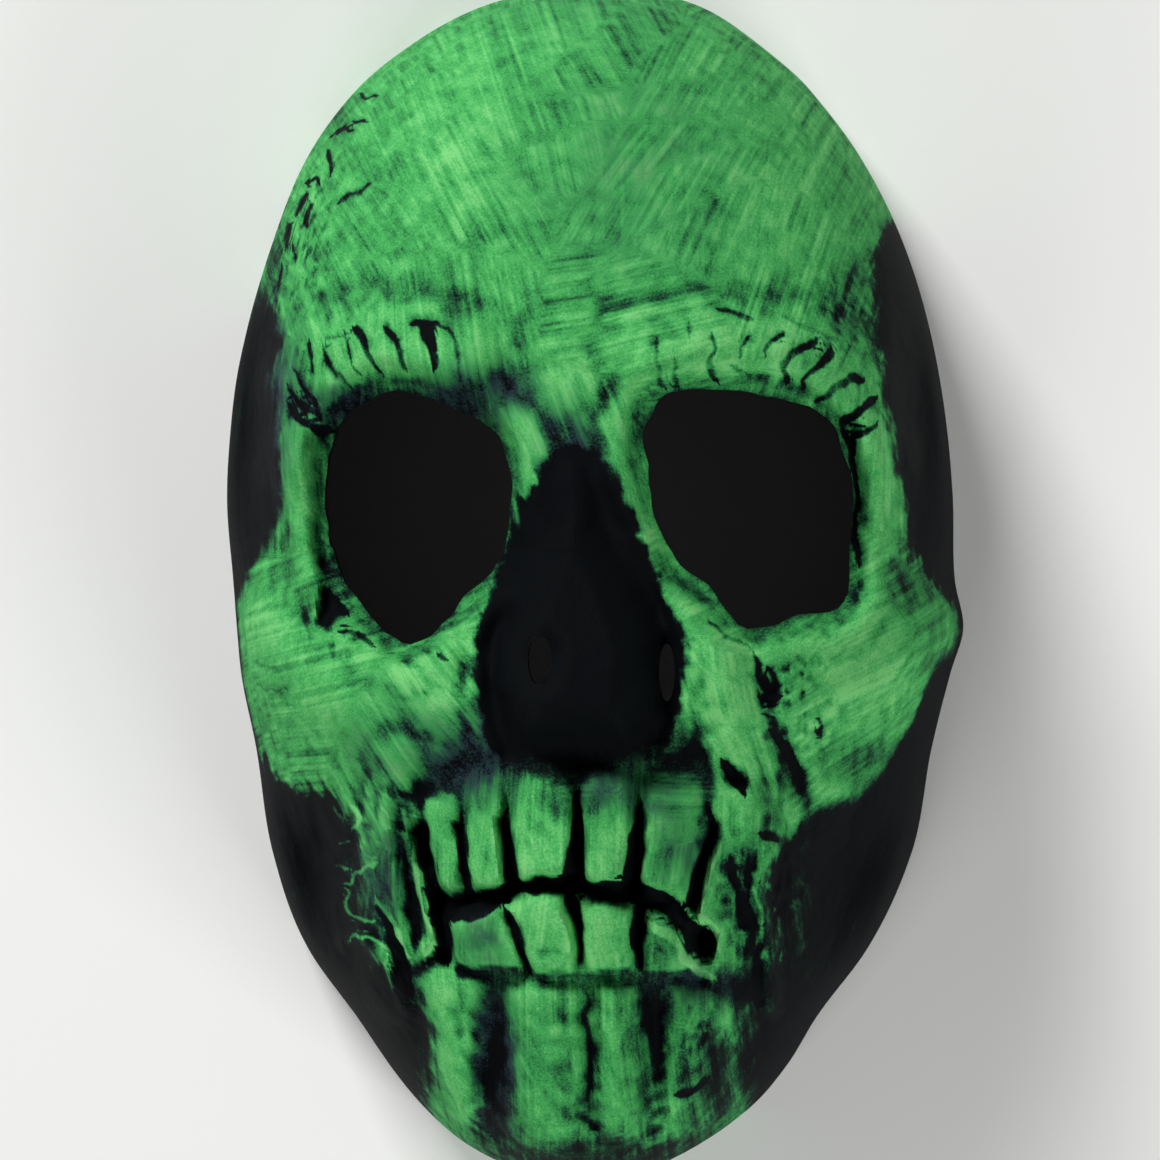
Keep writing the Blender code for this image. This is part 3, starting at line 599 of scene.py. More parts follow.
# %% [markdown]
# Colours are written as on a screen, in sRGB hex, and one function turns them linear for the
# shader. Another adds any node with its settings and links, and a few small ones make the steps
# that every material repeats, so a material reads as a short list.

# %% Colour and node helpers
MM = 0.001
MINUS = {"operation": "SUBTRACT"}
TIMES = {"operation": "MULTIPLY"}
TIMES_PLUS = {"operation": "MULTIPLY_ADD"}
SOFT = {"interpolation_type": "SMOOTHSTEP"}
COLOUR = {"data_type": "RGBA"}


def linear(hex_colour):
    parts = [int(hex_colour[i : i + 2], 16) / 255 for i in (1, 3, 5)]
    return [p / 12.92 if p <= 0.04045 else ((p + 0.055) / 1.055) ** 2.4 for p in parts] + [1.0]


def node(tree, kind, settings, links):
    """Adds one shader node. A link's value is a number, a colour, a socket or another node."""
    made = tree.nodes.new("ShaderNode" + kind)
    for name, value in settings.items():
        setattr(made, name, value)
    for key, value in links.items():
        if isinstance(value, bpy.types.Node):
            value = value.outputs[0]
        if isinstance(value, bpy.types.NodeSocket):
            tree.links.new(value, made.inputs[key])
        else:
            made.inputs[key].default_value = value
    return made


def attribute(tree, name, output="Fac"):
    """What the mesh's points carry under a name."""
    return node(tree, "Attribute", {"attribute_name": name}, {}).outputs[output]


def grain(tree, place, size, detail, roughness=0.5):
    """Soft noise from 0 to 1 with lumps about one size apart."""
    links = {"Vector": place, "Scale": 1 / size, "Detail": detail, "Roughness": roughness}
    return node(tree, "TexNoise", {}, links)


def centred(tree, texture):
    """A texture from 0 to 1 moved to lie round 0."""
    return node(tree, "Math", MINUS, {0: texture, 1: 0.5})


def fill_colour(tree, shader, share, low, high):
    """Base colour from low to high as the share goes from 0 to 1."""
    mixed = node(tree, "Mix", COLOUR, {0: share, 6: low, 7: high})
    tree.links.new(mixed.outputs[2], shader.inputs["Base Color"])


def raise_grain(tree, shader, height, strength, depth):
    """Relief finer than the mesh."""
    bump = node(tree, "Bump", {}, {"Strength": strength, "Distance": depth, "Height": height})
    tree.links.new(bump.outputs[0], shader.inputs["Normal"])


def new_material(name):
    made = bpy.data.materials.new(name)
    made.use_nodes = True
    tree = made.node_tree
    return made, tree, tree.nodes["Principled BSDF"]


# %% [markdown]
# Luminous paint over black latex: the latex is a natural rubber pigmented black, cast against
# plaster, so it is nearly matt. The paint is a green phosphor in a latex medium, dragged on with
# a stiff, nearly dry brush. It stays on the high places, breaks into bristle streaks and misses
# every groove. The mesh carries how much paint a place got and which way the brush ran, once
# for the main strokes and once for those that cross them.

# %% Brush marks in the paint
MARKS = (
    # strokes, spacing, length, detail, share
    ("brush", 0.55 * MM, 20 * MM, 1, 0.28),
    ("brush", 1.3 * MM, 60 * MM, 1, 0.62),
    ("brush", 4.5 * MM, 50 * MM, 2, 0.40),
    ("crossing", 0.9 * MM, 30 * MM, 2, 0.30),
)
SPECK_SIZE = 0.45 * MM
SPECK_SHARE = 0.55
MOTTLE_SIZE = 7 * MM
MOTTLE_SHARE = 0.80
LINE_WOBBLE = 1.6 * MM
LINE_EDGE = 0.35 * MM
LINE_FULL = 0.4 * MM
LINE_REACH = 0.9 * MM

painted_latex, tree, shader = new_material("Luminous paint dry-brushed on black latex")
place = node(tree, "TexCoord", {}, {}).outputs["Object"]
ways = {name: attribute(tree, name, "Vector") for name in ("brush", "crossing")}
steady = {name: attribute(tree, name + "_steady") for name in ("brush", "crossing")}
specks = grain(tree, place, SPECK_SIZE, 2, 0.6)
mottle = grain(tree, place, MOTTLE_SIZE, 5, 0.7)

# How thick the paint lies: what reached the place, thinned and thickened by each kind of mark.
thick = attribute(tree, "coverage")
for strokes, spacing, length, detail, share in MARKS:
    stretch = (1 / spacing, 1 / length, 1 / length)
    drawn_out = node(tree, "Mapping", {}, {"Vector": ways[strokes], "Scale": stretch})
    streak = centred(tree, grain(tree, drawn_out, 1, detail, 0.55))
    streak = node(tree, "Math", TIMES, {0: streak, 1: steady[strokes]})
    thick = node(tree, "Math", TIMES_PLUS, {0: streak, 1: share, 2: thick})
for texture, share in ((specks, SPECK_SHARE), (mottle, MOTTLE_SHARE)):
    thick = node(tree, "Math", TIMES_PLUS, {0: centred(tree, texture), 1: share, 2: thick})

# Scored lines: dark where the brush skipped a cut, light where a lip took more paint.
score = node(tree, "SeparateXYZ", {}, {0: attribute(tree, "score", "Vector")})
wobble = {0: centred(tree, mottle), 1: LINE_WOBBLE, 2: score.outputs["X"]}
beside = node(tree, "Math", {"operation": "ABSOLUTE"}, {0: node(tree, "Math", TIMES_PLUS, wobble)})
past_edge = node(tree, "Math", MINUS, {0: beside, 1: score.outputs["Z"]})
line = node(tree, "MapRange", SOFT, {"Value": past_edge, "From Min": LINE_EDGE, "From Max": -LINE_EDGE})
reach = {"Value": score.outputs["Y"], "From Min": LINE_REACH, "From Max": LINE_FULL}
line = node(tree, "Math", TIMES, {0: line, 1: node(tree, "MapRange", SOFT, reach)})
thick = node(tree, "Math", TIMES_PLUS, {0: line, 1: attribute(tree, "strength"), 2: thick})
print("painted face so far:", len(tree.nodes), "nodes")

# %% [markdown]
# The paint's colour runs with its thickness, from bare black over dark and middle green to a
# pale green where the brush first touched. In patches the paint turns slate: painted shade.

# %% Colours of the paint
PAINT_COLOURS = (
    # thickness, colour
    (0.06, "#090C0F"),
    (0.22, "#10291F"),
    (0.38, "#235F3A"),
    (0.54, "#37934D"),
    (0.74, "#4FB762"),
    (1.00, "#7CD57F"),
)
SLATE = linear("#2B3D47")

ramp = node(tree, "ValToRGB", {}, {"Fac": thick})
stops = ramp.color_ramp.elements
while len(stops) < len(PAINT_COLOURS):
    stops.new(0.5)
for stop, (thickness, colour) in zip(stops, PAINT_COLOURS):
    stop.position = thickness
    stop.color = linear(colour)
# Painted shade: slate mixed into the paint in patches, broken up by specks and mottle.
broken = node(tree, "Math", TIMES_PLUS, {0: specks, 1: 0.5, 2: mottle.outputs[0]})
patchy = node(tree, "MapRange", SOFT, {"Value": broken, "From Min": 0.60, "From Max": 0.90})
slate_shade_mix = node(tree, "Math", TIMES, {0: attribute(tree, "slate_shade"), 1: patchy})
bare_enough = node(tree, "MapRange", SOFT, {"Value": thick, "From Min": -0.15, "From Max": 0.20})
slate_shade_mix = node(tree, "Math", TIMES, {0: slate_shade_mix, 1: bare_enough})
fill_colour(tree, shader, slate_shade_mix, ramp, SLATE)
shader.inputs["Roughness"].default_value = 0.72
shader.inputs["IOR"].default_value = 1.5
shader.inputs["Specular IOR Level"].default_value = 0.04

height = node(tree, "Math", TIMES_PLUS, {0: specks, 1: 0.6, 2: thick})
raise_grain(tree, shader, height, 0.45, 0.4 * MM)
print("painted face:", len(tree.nodes), "nodes")

# %% [markdown]
# The back of the shell was never painted. It took the texture of the mould's slush coat: black
# latex with soft pools and a faint orange-peel skin.

# %% Material of the bare back
PEEL_SIZE = 2.5 * MM
POOL_SIZE = 22 * MM

bare_latex, tree, shader = new_material("Bare black cast latex")
place = node(tree, "TexCoord", {}, {}).outputs["Object"]
pools = grain(tree, place, POOL_SIZE, 3)
fill_colour(tree, shader, pools, linear("#090A0D"), linear("#15171B"))
gloss = node(tree, "MapRange", {}, {"Value": pools, "To Min": 0.45, "To Max": 0.65})
tree.links.new(gloss.outputs[0], shader.inputs["Roughness"])
shader.inputs["Specular IOR Level"].default_value = 0.3
raise_grain(tree, shader, grain(tree, place, PEEL_SIZE, 2), 0.35, 0.4 * MM)
print("bare back:", len(tree.nodes), "nodes")

# %% [markdown]
# Now the shell itself. The trimmer cut the eye sockets and nostrils out with scissors, so they
# are cut here with prisms, and a box cuts the rim flat. One exact Boolean takes all the cutters.
# The cutters' faces carry the second material, so the back and the cut edges stay bare.

# %% Cut the shell
SNIP = 0.045
SNIP_SPACING = 0.0045
NOSTRIL_STEPS = 24
SURFACES = (painted_latex, bare_latex)


def prism(name, outline):
    """A cutter that stands on an outline and runs through the whole depth of the face."""
    bm = bmesh.new()
    bmesh.ops.create_circle(bm, cap_ends=True, segments=len(outline), radius=1)
    for vert, (x, y) in zip(list(bm.verts), outline):
        vert.co = (x, y, WALL)
    raised = bmesh.ops.extrude_face_region(bm, geom=list(bm.faces))["geom"]
    top = [item for item in raised if isinstance(item, bmesh.types.BMVert)]
    bmesh.ops.translate(bm, verts=top, vec=(0, 0, MASK_DEPTH + NOSE_RISE + RELIEF))
    return object_from(bm, name, SURFACES, 1)


outer_bm = sculpted(0)
outer_points = np.array([vert.co for vert in outer_bm.verts])
outer_normals = np.array([vert.normal for vert in outer_bm.verts])
outer_edges = np.array([[vert.index for vert in edge.verts] for edge in outer_bm.edges])
face = object_from(outer_bm, "skull_shell", SURFACES)
cutters = [object_from(sculpted(WALL), "cutter_hollow", SURFACES, 1)]
for name, socket in (("left_socket", LEFT_SOCKET), ("right_socket", RIGHT_SOCKET)):
    outline = closed_curve(socket, OUTLINE_STEPS) * (HALF_WIDTH, HALF_HEIGHT)
    shake = hand_noise(outline[:, 0], outline[:, 1], 0 * outline[:, 0], SNIP_SPACING, 31)
    middle = outline.mean(axis=0)
    outline = middle + (outline - middle) * (1 + SNIP * shake[:, None])
    cutters.append(prism("cutter_" + name, outline))
turns = np.linspace(0, 2 * np.pi, NOSTRIL_STEPS, endpoint=False)
for side, (across, up, half_width, half_height) in NOSTRILS.items():
    x = (across + half_width * np.cos(turns)) * HALF_WIDTH
    y = (up + half_height * np.sin(turns)) * HALF_HEIGHT
    cutters.append(prism(f"cutter_{side}_nostril", list(zip(x, y))))
bm = bmesh.new()
bmesh.ops.create_cube(bm, size=1)
bmesh.ops.scale(bm, verts=bm.verts, vec=(2 * MASK_WIDTH, 2 * MASK_HEIGHT, 4 * SKIRT))
bmesh.ops.translate(bm, verts=bm.verts, vec=(0, 0, -2 * SKIRT))
cutters.append(object_from(bm, "cutter_rim", SURFACES, 1))

together = bpy.data.collections.new("shell_cutters")
for cutter in cutters:
    together.objects.link(cutter)
bite = face.modifiers.new("Hollow and openings", "BOOLEAN")
bite.operation = "DIFFERENCE"
bite.solver = "EXACT"
bite.operand_type = "COLLECTION"
bite.collection = together
graph = bpy.context.evaluated_depsgraph_get()
cut_mesh = bpy.data.meshes.new_from_object(face.evaluated_get(graph))
face.modifiers.clear()
face.data = cut_mesh
cut_mesh.name = "skull_shell"
for cutter in cutters:
    bpy.data.objects.remove(cutter)
print("shell:", len(cut_mesh.vertices), "points,", len(cut_mesh.polygons), "faces")
turns_round = len(cut_mesh.vertices) - len(cut_mesh.edges) + len(cut_mesh.polygons)
print("openings right through:", 1 - turns_round // 2)

# %% [markdown]
# The paint follows the form. Smoothing a copy of the uncut face's points, and measuring how far
# each one lies under or over it, tells hollows from high places, which is just what a dry brush
# feels. Each point of the cut shell then takes the reading of the nearest uncut one.

# %% Read the hollows from the uncut face
NARROW_DEPTH = 0.28 * MM
WIDE_DEPTH = 1.9 * MM
NARROW_PASSES = 5
WIDE_PASSES = 30


def neighbours_mean(values, edges, passes):
    """Each point's values averaged with its neighbours', several times over."""
    count = np.bincount(edges.ravel(), minlength=len(values))[:, None] + 1.0
    ends = np.concatenate([edges[:, 0], edges[:, 1]])
    starts = np.concatenate([edges[:, 1], edges[:, 0]])
    for _ in range(passes):
        sums = [np.bincount(ends, column[starts], len(values)) for column in values.T]
        values = (values + np.stack(sums, axis=1)) / count
    return values


def depth_below(passes):
    """How far each point of the uncut face lies under its smoothed copy, in metres."""
    smoothed = neighbours_mean(outer_points, outer_edges, passes)
    return ((smoothed - outer_points) * outer_normals).sum(axis=1)


narrow, wide = depth_below(NARROW_PASSES), depth_below(WIDE_PASSES)
outer_hollow = 0.5 * np.clip(narrow / NARROW_DEPTH, -0.3, 1.5) + 0.5 * np.clip(wide / WIDE_DEPTH, -0.3, 1.5)
print("hollows: deepest", round(np.percentile(wide, 99.9) * 1000, 2), "mm under their surroundings")

finder = KDTree(len(outer_points))
for index, place in enumerate(outer_points):
    finder.insert(place, index)
finder.balance()
points = np.empty(len(cut_mesh.vertices) * 3)
cut_mesh.vertices.foreach_get("co", points)
points = points.reshape(-1, 3)
hollow = outer_hollow[[finder.find(place)[1] for place in points]]

# %% [markdown]
# Where the brush went: the whole front of the face, but not the temples, the sides of the jaw,
# the sockets' edges or the nose cavity. Each border is a soft curve. Ovals then add or take paint,
# hold a least amount of it in some hollows, and say where slate darkens the paint as painted shade.

# %% Where the paint lies
LEFT_TEMPLE_EDGE = (
    # up, across
    (-0.06, -0.93), (0.00, -0.90), (0.05, -0.83), (0.13, -0.765), (0.22, -0.77), (0.37, -0.79),
    (0.46, -0.80), (0.56, -0.84),
)
RIGHT_TEMPLE_EDGE = (
    # up, across
    (-0.06, 0.98), (-0.01, 0.91), (0.05, 0.84), (0.13, 0.81), (0.21, 0.79), (0.29, 0.76),
    (0.37, 0.74), (0.45, 0.74), (0.52, 0.73), (0.60, 0.78), (0.66, 0.86),
)
LEFT_CHEEK_EDGE = (
    # across, up
    (-0.99, -0.27), (-0.86, -0.29), (-0.77, -0.32), (-0.69, -0.33), (-0.62, -0.36), (-0.58, -0.42),
)
RIGHT_CHEEK_EDGE = (
    # across, up
    (0.48, -0.46), (0.54, -0.37), (0.60, -0.355), (0.68, -0.35), (0.76, -0.31), (0.81, -0.26),
    (0.86, -0.20), (0.92, -0.13), (0.99, -0.10),
)
RAGGED = (
    # size as a share of the half width, spacing, seed
    (0.022, 6.0 * MM, 17),
    (0.020, 2.2 * MM, 19),
)
EDGE_FADE = 4.5 * MM
CAVITY_REACH = 1.5 * MM
CAVITY_LOSS = 1.6
TRIM_FADE = 1.0 * MM
TRIM_LOSS = 0.25
BARE_LOSS = 0.78
BASE_COVERAGE = 0.60
MOST_PAINT = 0.84
MIDDLE_PAINT = 0.48
RIM_PAINT_START = 0.012
RIM_PAINT_FULL = 0.034
HOLLOW_LOSS = 0.62
PATCHES = (
    # across, up, half width, half height, gain
    # Forehead.
    (-0.30, 0.68, 0.22, 0.28, 0.14),
    (0.12, 0.66, 0.34, 0.22, 0.04),
    (0.48, 0.55, 0.25, 0.28, 0.10),
    (0.00, 1.00, 0.70, 0.10, -0.10),
    (-0.84, 0.50, 0.08, 0.28, -0.30),
    (-0.66, 0.76, 0.10, 0.14, -0.14),
    (-0.75, 0.30, 0.10, 0.16, -0.20),
    (0.68, 0.45, 0.12, 0.12, -0.25),
    # Brows and the bridge of the nose.
    (-0.25, 0.29, 0.20, 0.06, -0.55),
    (-0.60, 0.28, 0.16, 0.05, -0.35),
    (-0.02, 0.215, 0.08, 0.08, -0.45),
    (0.00, 0.31, 0.12, 0.06, 0.22),
    (-0.14, 0.22, 0.05, 0.10, 0.10),
    (0.20, 0.10, 0.10, 0.16, 0.25),
    (-0.50, 0.35, 0.30, 0.05, 0.10),
    (0.45, 0.35, 0.30, 0.05, 0.10),
    # Left cheek.
    (-0.34, -0.13, 0.14, 0.08, 0.16),
    (-0.70, -0.24, 0.20, 0.08, 0.10),
    (-0.26, -0.27, 0.13, 0.12, -0.42),
    (0.22, -0.28, 0.14, 0.07, -0.25),
    (-0.64, -0.02, 0.10, 0.08, -0.30),
    (-0.45, -0.24, 0.18, 0.10, -0.12),
    # Right cheek and upper jaw.
    (0.36, -0.20, 0.13, 0.20, 0.25),
    (0.25, -0.24, 0.06, 0.07, -0.30),
    (0.22, 0.43, 0.20, 0.05, 0.16),
    (0.70, -0.16, 0.24, 0.14, 0.16),
    (0.90, -0.10, 0.13, 0.18, -0.24),
    (0.74, -0.30, 0.14, 0.06, -0.20),
    (0.50, -0.16, 0.07, 0.09, -0.25),
    (0.54, -0.31, 0.06, 0.07, -0.30),
    # Under the nose.
    (0.00, -0.325, 0.36, 0.065, -0.36),
    # Teeth.
    (0.00, -0.39, 0.20, 0.07, 0.14),
    (-0.33, -0.42, 0.08, 0.10, -0.20),
    (0.26, -0.41, 0.12, 0.10, -0.20),
    (0.00, -0.545, 0.15, 0.06, 0.36),
    (-0.25, -0.555, 0.12, 0.05, -0.14),
    (0.20, -0.56, 0.14, 0.07, -0.30),
    # Left jaw.
    (-0.45, -0.46, 0.09, 0.16, -0.34),
    (-0.56, -0.47, 0.12, 0.15, 0.15),
    (-0.55, -0.60, 0.10, 0.05, 0.20),
    (-0.42, -0.72, 0.08, 0.16, -0.35),
    # Right jaw.
    (0.43, -0.47, 0.12, 0.18, -0.38),
    (0.52, -0.50, 0.12, 0.22, 0.30),
    # Chin.
    (0.00, -0.615, 0.44, 0.03, -0.22),
    (0.02, -0.78, 0.50, 0.20, -0.12),
    (0.25, -0.72, 0.20, 0.10, -0.12),
    (-0.34, -0.72, 0.07, 0.12, 0.20),
    (-0.215, -0.76, 0.09, 0.20, -0.60),
    (0.19, -0.67, 0.08, 0.06, -0.60),
    (0.35, -0.64, 0.16, 0.06, -0.45),
    (0.02, -0.92, 0.60, 0.09, -0.55),
    (0.34, -0.80, 0.16, 0.14, -0.40),
)
LEAST_PAINT = (
    # across, up, half width, half height, least
    (-0.15, -0.335, 0.22, 0.075, 0.9),
    (0.17, -0.33, 0.22, 0.075, 0.75),
    (-0.10, -0.62, 0.24, 0.05, 0.35),
    (0.10, -0.62, 0.24, 0.05, 0.30),
    (-0.52, -0.42, 0.10, 0.12, 0.55),
    (-0.57, -0.51, 0.06, 0.05, 0.30),
    (-0.48, -0.52, 0.04, 0.05, 0.50),
    (-0.28, 0.285, 0.10, 0.05, 0.30),
)
# Painted shade: slate darkens the paint under the brows and the nose, below the cheekbones, between and
# beside the sockets and in the grooves of teeth, jaw and chin; two broad, weaker patches darken forehead and
# crown.
SLATE_SHADE_PATCHES = (
    # across, up, half width, half height, gain
    (-0.25, 0.29, 0.24, 0.08, 1.0),
    (-0.62, 0.28, 0.18, 0.06, 0.8),
    (-0.26, -0.27, 0.17, 0.12, 1.2),
    (-0.21, -0.76, 0.10, 0.20, 1.0),
    (0.14, -0.33, 0.24, 0.06, 0.9),
    (0.07, -0.32, 0.08, 0.05, 0.5),
    (-0.50, -0.44, 0.16, 0.16, 0.7),
    (0.12, 0.66, 0.45, 0.30, 0.40),
    (0.00, 0.98, 0.60, 0.16, 0.35),
    (-0.02, 0.22, 0.12, 0.10, 0.9),
    (-0.25, -0.56, 0.12, 0.07, 0.8),
    (0.28, -0.63, 0.20, 0.06, 0.7),
    (-0.47, -0.24, 0.22, 0.12, 0.5),
    (-0.78, 0.30, 0.10, 0.28, 0.9),
    (0.26, -0.42, 0.14, 0.10, 0.6),
)


def past(edge, along, beside, side, softness):
    """1 beyond a border on one side, -1 or 1, and 0 before it, with a soft step between."""
    keys, values = zip(*edge)
    return smooth_step(side * (beside - np.interp(along, keys, values)) / softness + 0.4)


x, y, z = points.T
ragged = sum(size * hand_noise(x, y, z, spacing, seed) for size, spacing, seed in RAGGED)
across, up = x / HALF_WIDTH + ragged, y / HALF_HEIGHT + 0.6 * ragged
above_cheek = smooth_step((up + 0.045) / 0.04)
left_temple = past(LEFT_TEMPLE_EDGE, up, across, -1, 0.06) * smooth_step((0.52 - up) / 0.12)
right_temple = past(RIGHT_TEMPLE_EDGE, up, across, 1, 0.05) * smooth_step((0.63 - up) / 0.06)
left_cheek = past(LEFT_CHEEK_EDGE, across, up, -1, 0.045) * smooth_step((-0.46 - across) / 0.10)
right_cheek = past(RIGHT_CHEEK_EDGE, across, up, -1, 0.045) * smooth_step((across - 0.42) / 0.08)
jaw = smooth_step((np.abs(across) - 0.38) / 0.10) * smooth_step((-0.56 - up) / 0.06)
rim = 1 - smooth_step((z - RIM_PAINT_START) / (RIM_PAINT_FULL - RIM_PAINT_START))
rim *= smooth_step((np.abs(across) - 0.80) / 0.08) * smooth_step((0.50 - np.abs(up)) / 0.10)
temples = above_cheek * np.maximum(left_temple, right_temple)
bare = np.maximum.reduce([temples, left_cheek, right_cheek, jaw, rim])
coverage = BASE_COVERAGE - BARE_LOSS * bare + oval_sum(PATCHES, across, up)
nose_far = signed_distance(x + HALF_WIDTH * ragged, y, NOSE_OUTLINE)
coverage -= CAVITY_LOSS * (1 - smooth_step((nose_far + CAVITY_REACH) / EDGE_FADE))
for socket in (LEFT_SOCKET, RIGHT_SOCKET):
    rim_far = signed_distance(x + HALF_WIDTH * ragged, y, socket)
    hollow = hollow * smooth_step(rim_far / EDGE_FADE)
    coverage -= TRIM_LOSS * (1 - smooth_step(rim_far / TRIM_FADE))
least = np.minimum(oval_sum(LEAST_PAINT, across, up), MIDDLE_PAINT)
coverage = np.minimum(coverage - HOLLOW_LOSS * np.clip(hollow, -0.3, 1), MOST_PAINT)
coverage = np.where(least > 0, np.maximum(coverage, least), coverage)
beside, off, half_width, strength = nearest_score(*bent(x, y, z))
slate_shade = np.clip(oval_sum(SLATE_SHADE_PATCHES, across, up), 0, 1)
print("coverage from", round(coverage.min(), 2), "to", round(coverage.max(), 2))

# %% [markdown]
# Which way the brush ran: down and inwards on both sides of the forehead, level above the nose,
# along the cheekbones, and straight down on teeth and chin. Each point takes the strongest of
# these directions, changed a little from dab to dab, and its place is turned to lie along it.

# %% Brush directions
STROKES = (
    # across, up, reach, direction in degrees from the level
    (-0.50, 0.70, 0.45, -62),
    (-0.15, 0.75, 0.30, -70),
    (0.25, 0.62, 0.30, 62),
    (0.60, 0.60, 0.35, 66),
    (0.15, 0.42, 0.22, 8),
    (-0.30, 0.45, 0.22, -80),
    (-0.85, 0.20, 0.25, 88),
    (-0.75, -0.14, 0.30, 20),
    (-0.45, -0.25, 0.20, -50),
    (0.72, -0.12, 0.30, 30),
    (0.38, -0.22, 0.16, -78),
    (0.80, 0.20, 0.20, 84),
    (0.0, -0.32, 0.10, 4),
    (0.24, -0.32, 0.10, -4),
    (0.0, -0.42, 0.35, 88),
    (0.0, -0.75, 0.45, 90),
    (0.0, 0.25, 0.15, -75),
)
DAB_SIZE = 0.036
DAB_TURN = np.radians(6)
DABS_A_LUMP = 3
DAB_FADE = 0.14
CROSSING_TURN = 24


def brush_coordinates(points, extra_turn, seed):
    """Beside and along the strokes in metres with a number that tells the dabs apart, and how
    far inside its dab a place is, so that the strokes fade before they meet the next dab's."""
    x, y, z = points.T
    across, up = x / HALF_WIDTH, y / HALF_HEIGHT
    sway = hand_noise(x, y, z, DAB_SIZE, seed)
    pull = []
    for index, (left, middle, reach, _) in enumerate(STROKES):
        far2 = (across - left) ** 2 + ((up - middle) * HALF_HEIGHT / HALF_WIDTH) ** 2
        pull.append(np.exp(-far2 / reach**2) * (1 + 0.5 * sway * np.cos(3 * index)))
    strongest = np.argmax(pull, axis=0)
    second, first = np.sort(pull, axis=0)[-2:]
    lean = DABS_A_LUMP * hand_noise(x, y, z, DAB_SIZE, seed + 6)
    dab = np.round(lean)
    inside = smooth_step((1 - second / first) / DAB_FADE)
    inside *= smooth_step((0.5 - np.abs(lean - dab)) / DAB_FADE)
    turn = np.radians(np.array([row[3] for row in STROKES])[strongest] + extra_turn) + DAB_TURN * dab
    along = x * np.cos(turn) + y * np.sin(turn)
    beside = y * np.cos(turn) - x * np.sin(turn)
    return np.stack([beside, along, 0.37 * strongest + 0.11 * dab], axis=1), inside


def store(mesh, name, kind, field, values):
    made = mesh.attributes.new(name, kind, "POINT")
    made.data.foreach_set(field, np.ravel(values).astype(np.float32))


for name, turned, seed in (("brush", 0, 23), ("crossing", CROSSING_TURN, 41)):
    places, inside = brush_coordinates(points, turned, seed)
    store(cut_mesh, name, "FLOAT_VECTOR", "vector", places)
    store(cut_mesh, name + "_steady", "FLOAT", "value", inside)
store(cut_mesh, "score", "FLOAT_VECTOR", "vector", np.stack([beside, off, half_width], axis=1))
for name, values in (("coverage", coverage), ("slate_shade", slate_shade), ("strength", strength)):
    store(cut_mesh, name, "FLOAT", "value", values)
cut_mesh.shade_smooth()
cut_mesh.set_sharp_from_angle(angle=np.radians(50))
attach(face, "root")
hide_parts("mask_shell")
print("stored", len(cut_mesh.attributes), "attributes")

# %% [markdown]
# A strap holds the mask to the head. It is black woven elastic: rubber cores run along it as
# ribs, with yarn woven round them. Its path is the solid's: straight along both patches, then
# a half oval round the forehead. The grid is drawn along that path and the ribs are real waves
# in its faces, because they show at its edge too.

# %% Elastic strap
STRAP_WIDTH = 0.020
STRAP_THICKNESS = 0.0015
STRAP_START = 0.001
CROWN_CLEARANCE = 0.023
TAB_LENGTH = 0.026
GAP = 0.0003
STRAP_SEAT_GAP = 0.0007
STRAP_STEPS = 40
RIBS = 12
RIB_HEIGHT = 0.00018


def wall_across(y, z, column):
    """How far out the inner wall is at a height and a depth; column 1 is the left, 2 the right."""
    up = y / (HALF_HEIGHT - WALL)
    ring = np.sqrt(1 - up**2)
    power = 2 / through(SECTIONS, 4, up)
    front = (z / ((MASK_DEPTH - WALL) * ring * through(SECTIONS, 3, up))) ** (1 / power)
    return (HALF_WIDTH - WALL) * ring * through(SECTIONS, column, up) * np.sqrt(1 - front**2) ** power


def strap_route():
    """Plan of the strap: straight along the tabs, then a half oval round the forehead."""
    start, end = STRAP_START, STRAP_START + TAB_LENGTH
    top = STRAP_WIDTH + GAP
    left, right = (
        min(wall_across(start, top, column), wall_across(end, top, column)) - STRAP_SEAT_GAP
        for column in (1, 2)
    )
    turns = np.linspace(0, np.pi, STRAP_STEPS)
    arc_rise = HALF_HEIGHT - WALL - CROWN_CLEARANCE - end
    x = -np.where(turns < np.pi / 2, left, right) * np.cos(turns)
    y = end + arc_rise * np.sin(turns)
    return np.concatenate([[-left], x, [right]]), np.concatenate([[start], y, [start]])


route_x, route_y = strap_route()
lengths = np.concatenate([[0], np.cumsum(np.hypot(np.diff(route_x), np.diff(route_y)))])
steps = 4 * len(route_x)
columns = 4 * RIBS
run = np.linspace(0, lengths[-1], steps + 1)
line_x = np.interp(run, lengths, route_x)
line_y = np.interp(run, lengths, route_y)
ahead_x, ahead_y = np.gradient(line_x), np.gradient(line_y)
size = np.hypot(ahead_x, ahead_y)
bm = bmesh.new()
bmesh.ops.create_grid(bm, x_segments=steps, y_segments=columns, size=1)
weave = bm.verts.layers.float_vector.new("weave")
for vert in bm.verts:
    step = round((vert.co.x + 1) / 2 * steps)
    share = (vert.co.y + 1) / 2
    inset = RIB_HEIGHT * (0.5 + 0.5 * np.cos(2 * np.pi * RIBS * share))
    vert[weave] = (run[step], share * STRAP_WIDTH, 0)
    x = line_x[step] + inset * ahead_y[step] / size[step]
    y = line_y[step] - inset * ahead_x[step] / size[step]
    vert.co = (x, y, GAP + share * STRAP_WIDTH)
print("strap:", round(lengths[-1] * 1000), "mm long,", len(bm.faces), "faces a side")

# %% [markdown]
# The elastic's yarn is dull black polyester. The threads that cross the ribs lie half a thread
# apart from rib to rib, so they form a small brick pattern. Its colour follows the weave's height:
# painted shade darkens the lines between the ribs and the dips between threads, and a painted
# highlight lightens their crowns.

# %% Material of the elastic
THREAD_SPACING = 1.0 * MM
TURN = 2 * np.pi

